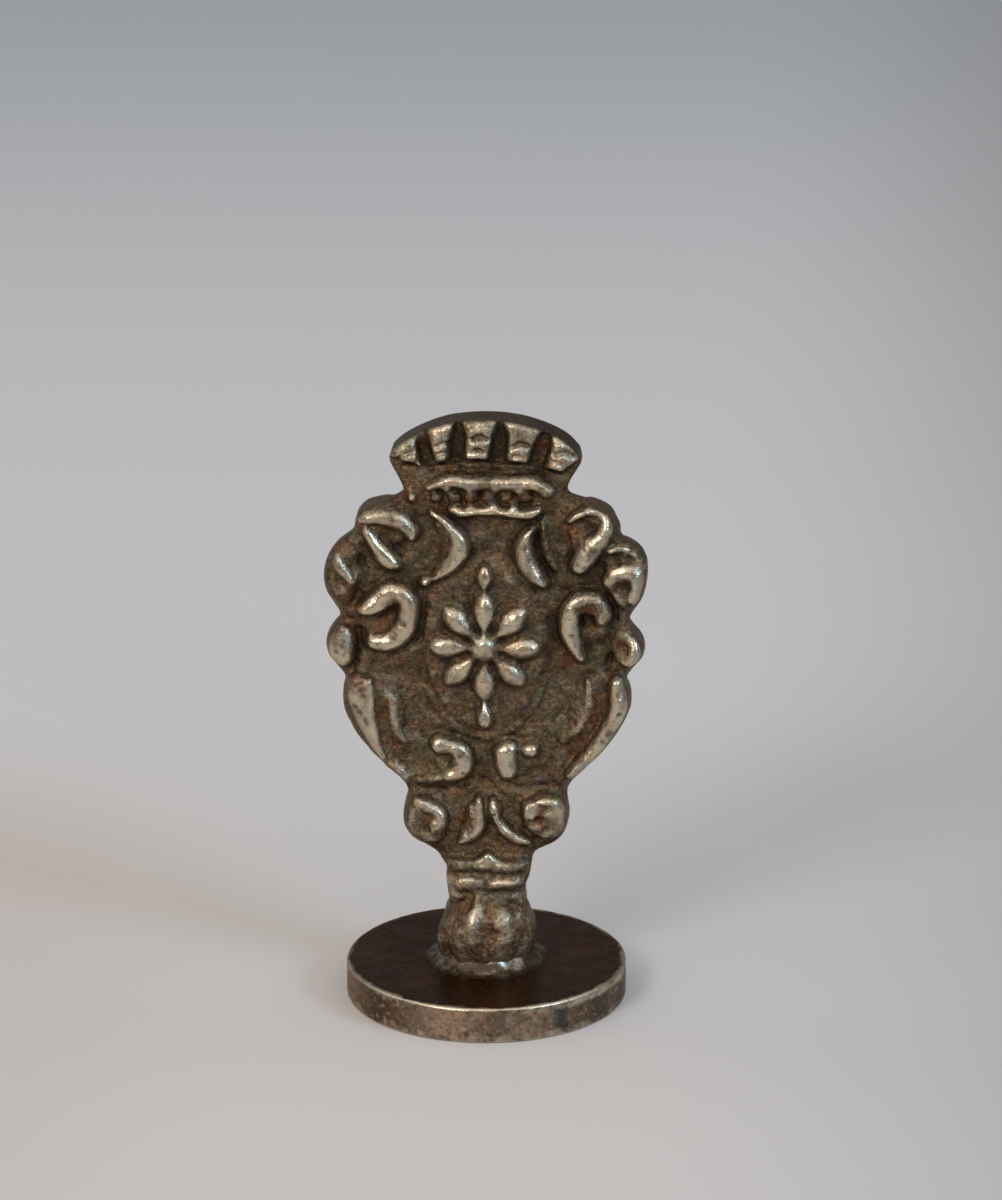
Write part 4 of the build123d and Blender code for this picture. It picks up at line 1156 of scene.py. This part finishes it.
def build_floor():
    """Floor that sweeps up behind the stamp."""
    path = [(FLOOR_FRONT, 0.0), (FLOOR_BEND, 0.0)]
    for a in np.radians(np.linspace(0.0, 90.0, FLOOR_SWEEP_STEPS)[1:]):
        path.append((FLOOR_BEND + FLOOR_SWEEP * sin(a), FLOOR_SWEEP - FLOOR_SWEEP * cos(a)))
    path.append((FLOOR_BEND + FLOOR_SWEEP, FLOOR_TOP))
    points = []
    for y, z in path:
        points += [(-FLOOR_HALF, y, z), (FLOOR_HALF, y, z)]
    faces = [(2 * i, 2 * i + 1, 2 * i + 3, 2 * i + 2) for i in range(len(path) - 1)]
    floor = mesh_object("studio_floor", points, faces)
    floor.data.materials.append(floor_material())


def direction(bearing, elevation):
    """Direction from the stamp towards a lamp or the camera."""
    a, e = radians(bearing), radians(elevation)
    return Vector((sin(a) * cos(e), -cos(a) * cos(e), sin(e)))


def build_studio():
    scene = bpy.context.scene
    scene.view_settings.view_transform = "Standard"
    world = bpy.data.worlds.new("soft_studio")
    world.use_nodes = True
    scene.world = world
    n = Nodes(world.node_tree)
    height = n.part(n.add("ShaderNodeTexCoord")["Generated"], "Z")
    sky = n.mix(n.spread(height, *SKY_FADE), SKY_LOW, SKY_HIGH)
    n.add("ShaderNodeOutputWorld", {"Surface": n.add("ShaderNodeBackground", {"Color": sky})[0]})

    for name, bearing, elevation, size, power, tint in LAMPS:
        lamp = bpy.data.lights.new(name, "AREA")
        lamp.shape = "SQUARE"
        lamp.size = size
        lamp.energy = power
        lamp.color = tint
        away = direction(bearing, elevation)
        holder = bpy.data.objects.new(name, lamp)
        holder.location = LAMP_AIM + away * LAMP_DISTANCE
        holder.rotation_euler = away.to_track_quat("Z", "Y").to_euler()
        scene.collection.objects.link(holder)

    lens = bpy.data.cameras.new("photo_camera")
    lens.lens = LENS
    lens.sensor_width = SENSOR
    lens.clip_start, lens.clip_end = CLIP
    back = direction(CAMERA_BEARING, CAMERA_ELEVATION)
    right = Vector((cos(radians(CAMERA_BEARING)), sin(radians(CAMERA_BEARING)), 0.0))
    target = right * CAMERA_SHIFT + Vector((0.0, 0.0, CAMERA_HEIGHT))
    turn = Matrix((right, back.cross(right), back)).transposed()
    camera = bpy.data.objects.new("photo_camera", lens)
    camera.matrix_world = Matrix.Translation(target + back * CAMERA_DISTANCE) @ turn.to_4x4()
    scene.collection.objects.link(camera)
    scene.camera = camera


def dress(piece, material, node):
    piece.data.materials.append(material)
    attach(piece, "root")
    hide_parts(node)


build_studio()
build_floor()
dress(build_casting(), casting_material(), "cast_handle")
dress(build_disc(), disc_material(), "seal_disc")
dress(build_solder(), solder_material(), "solder_joint")
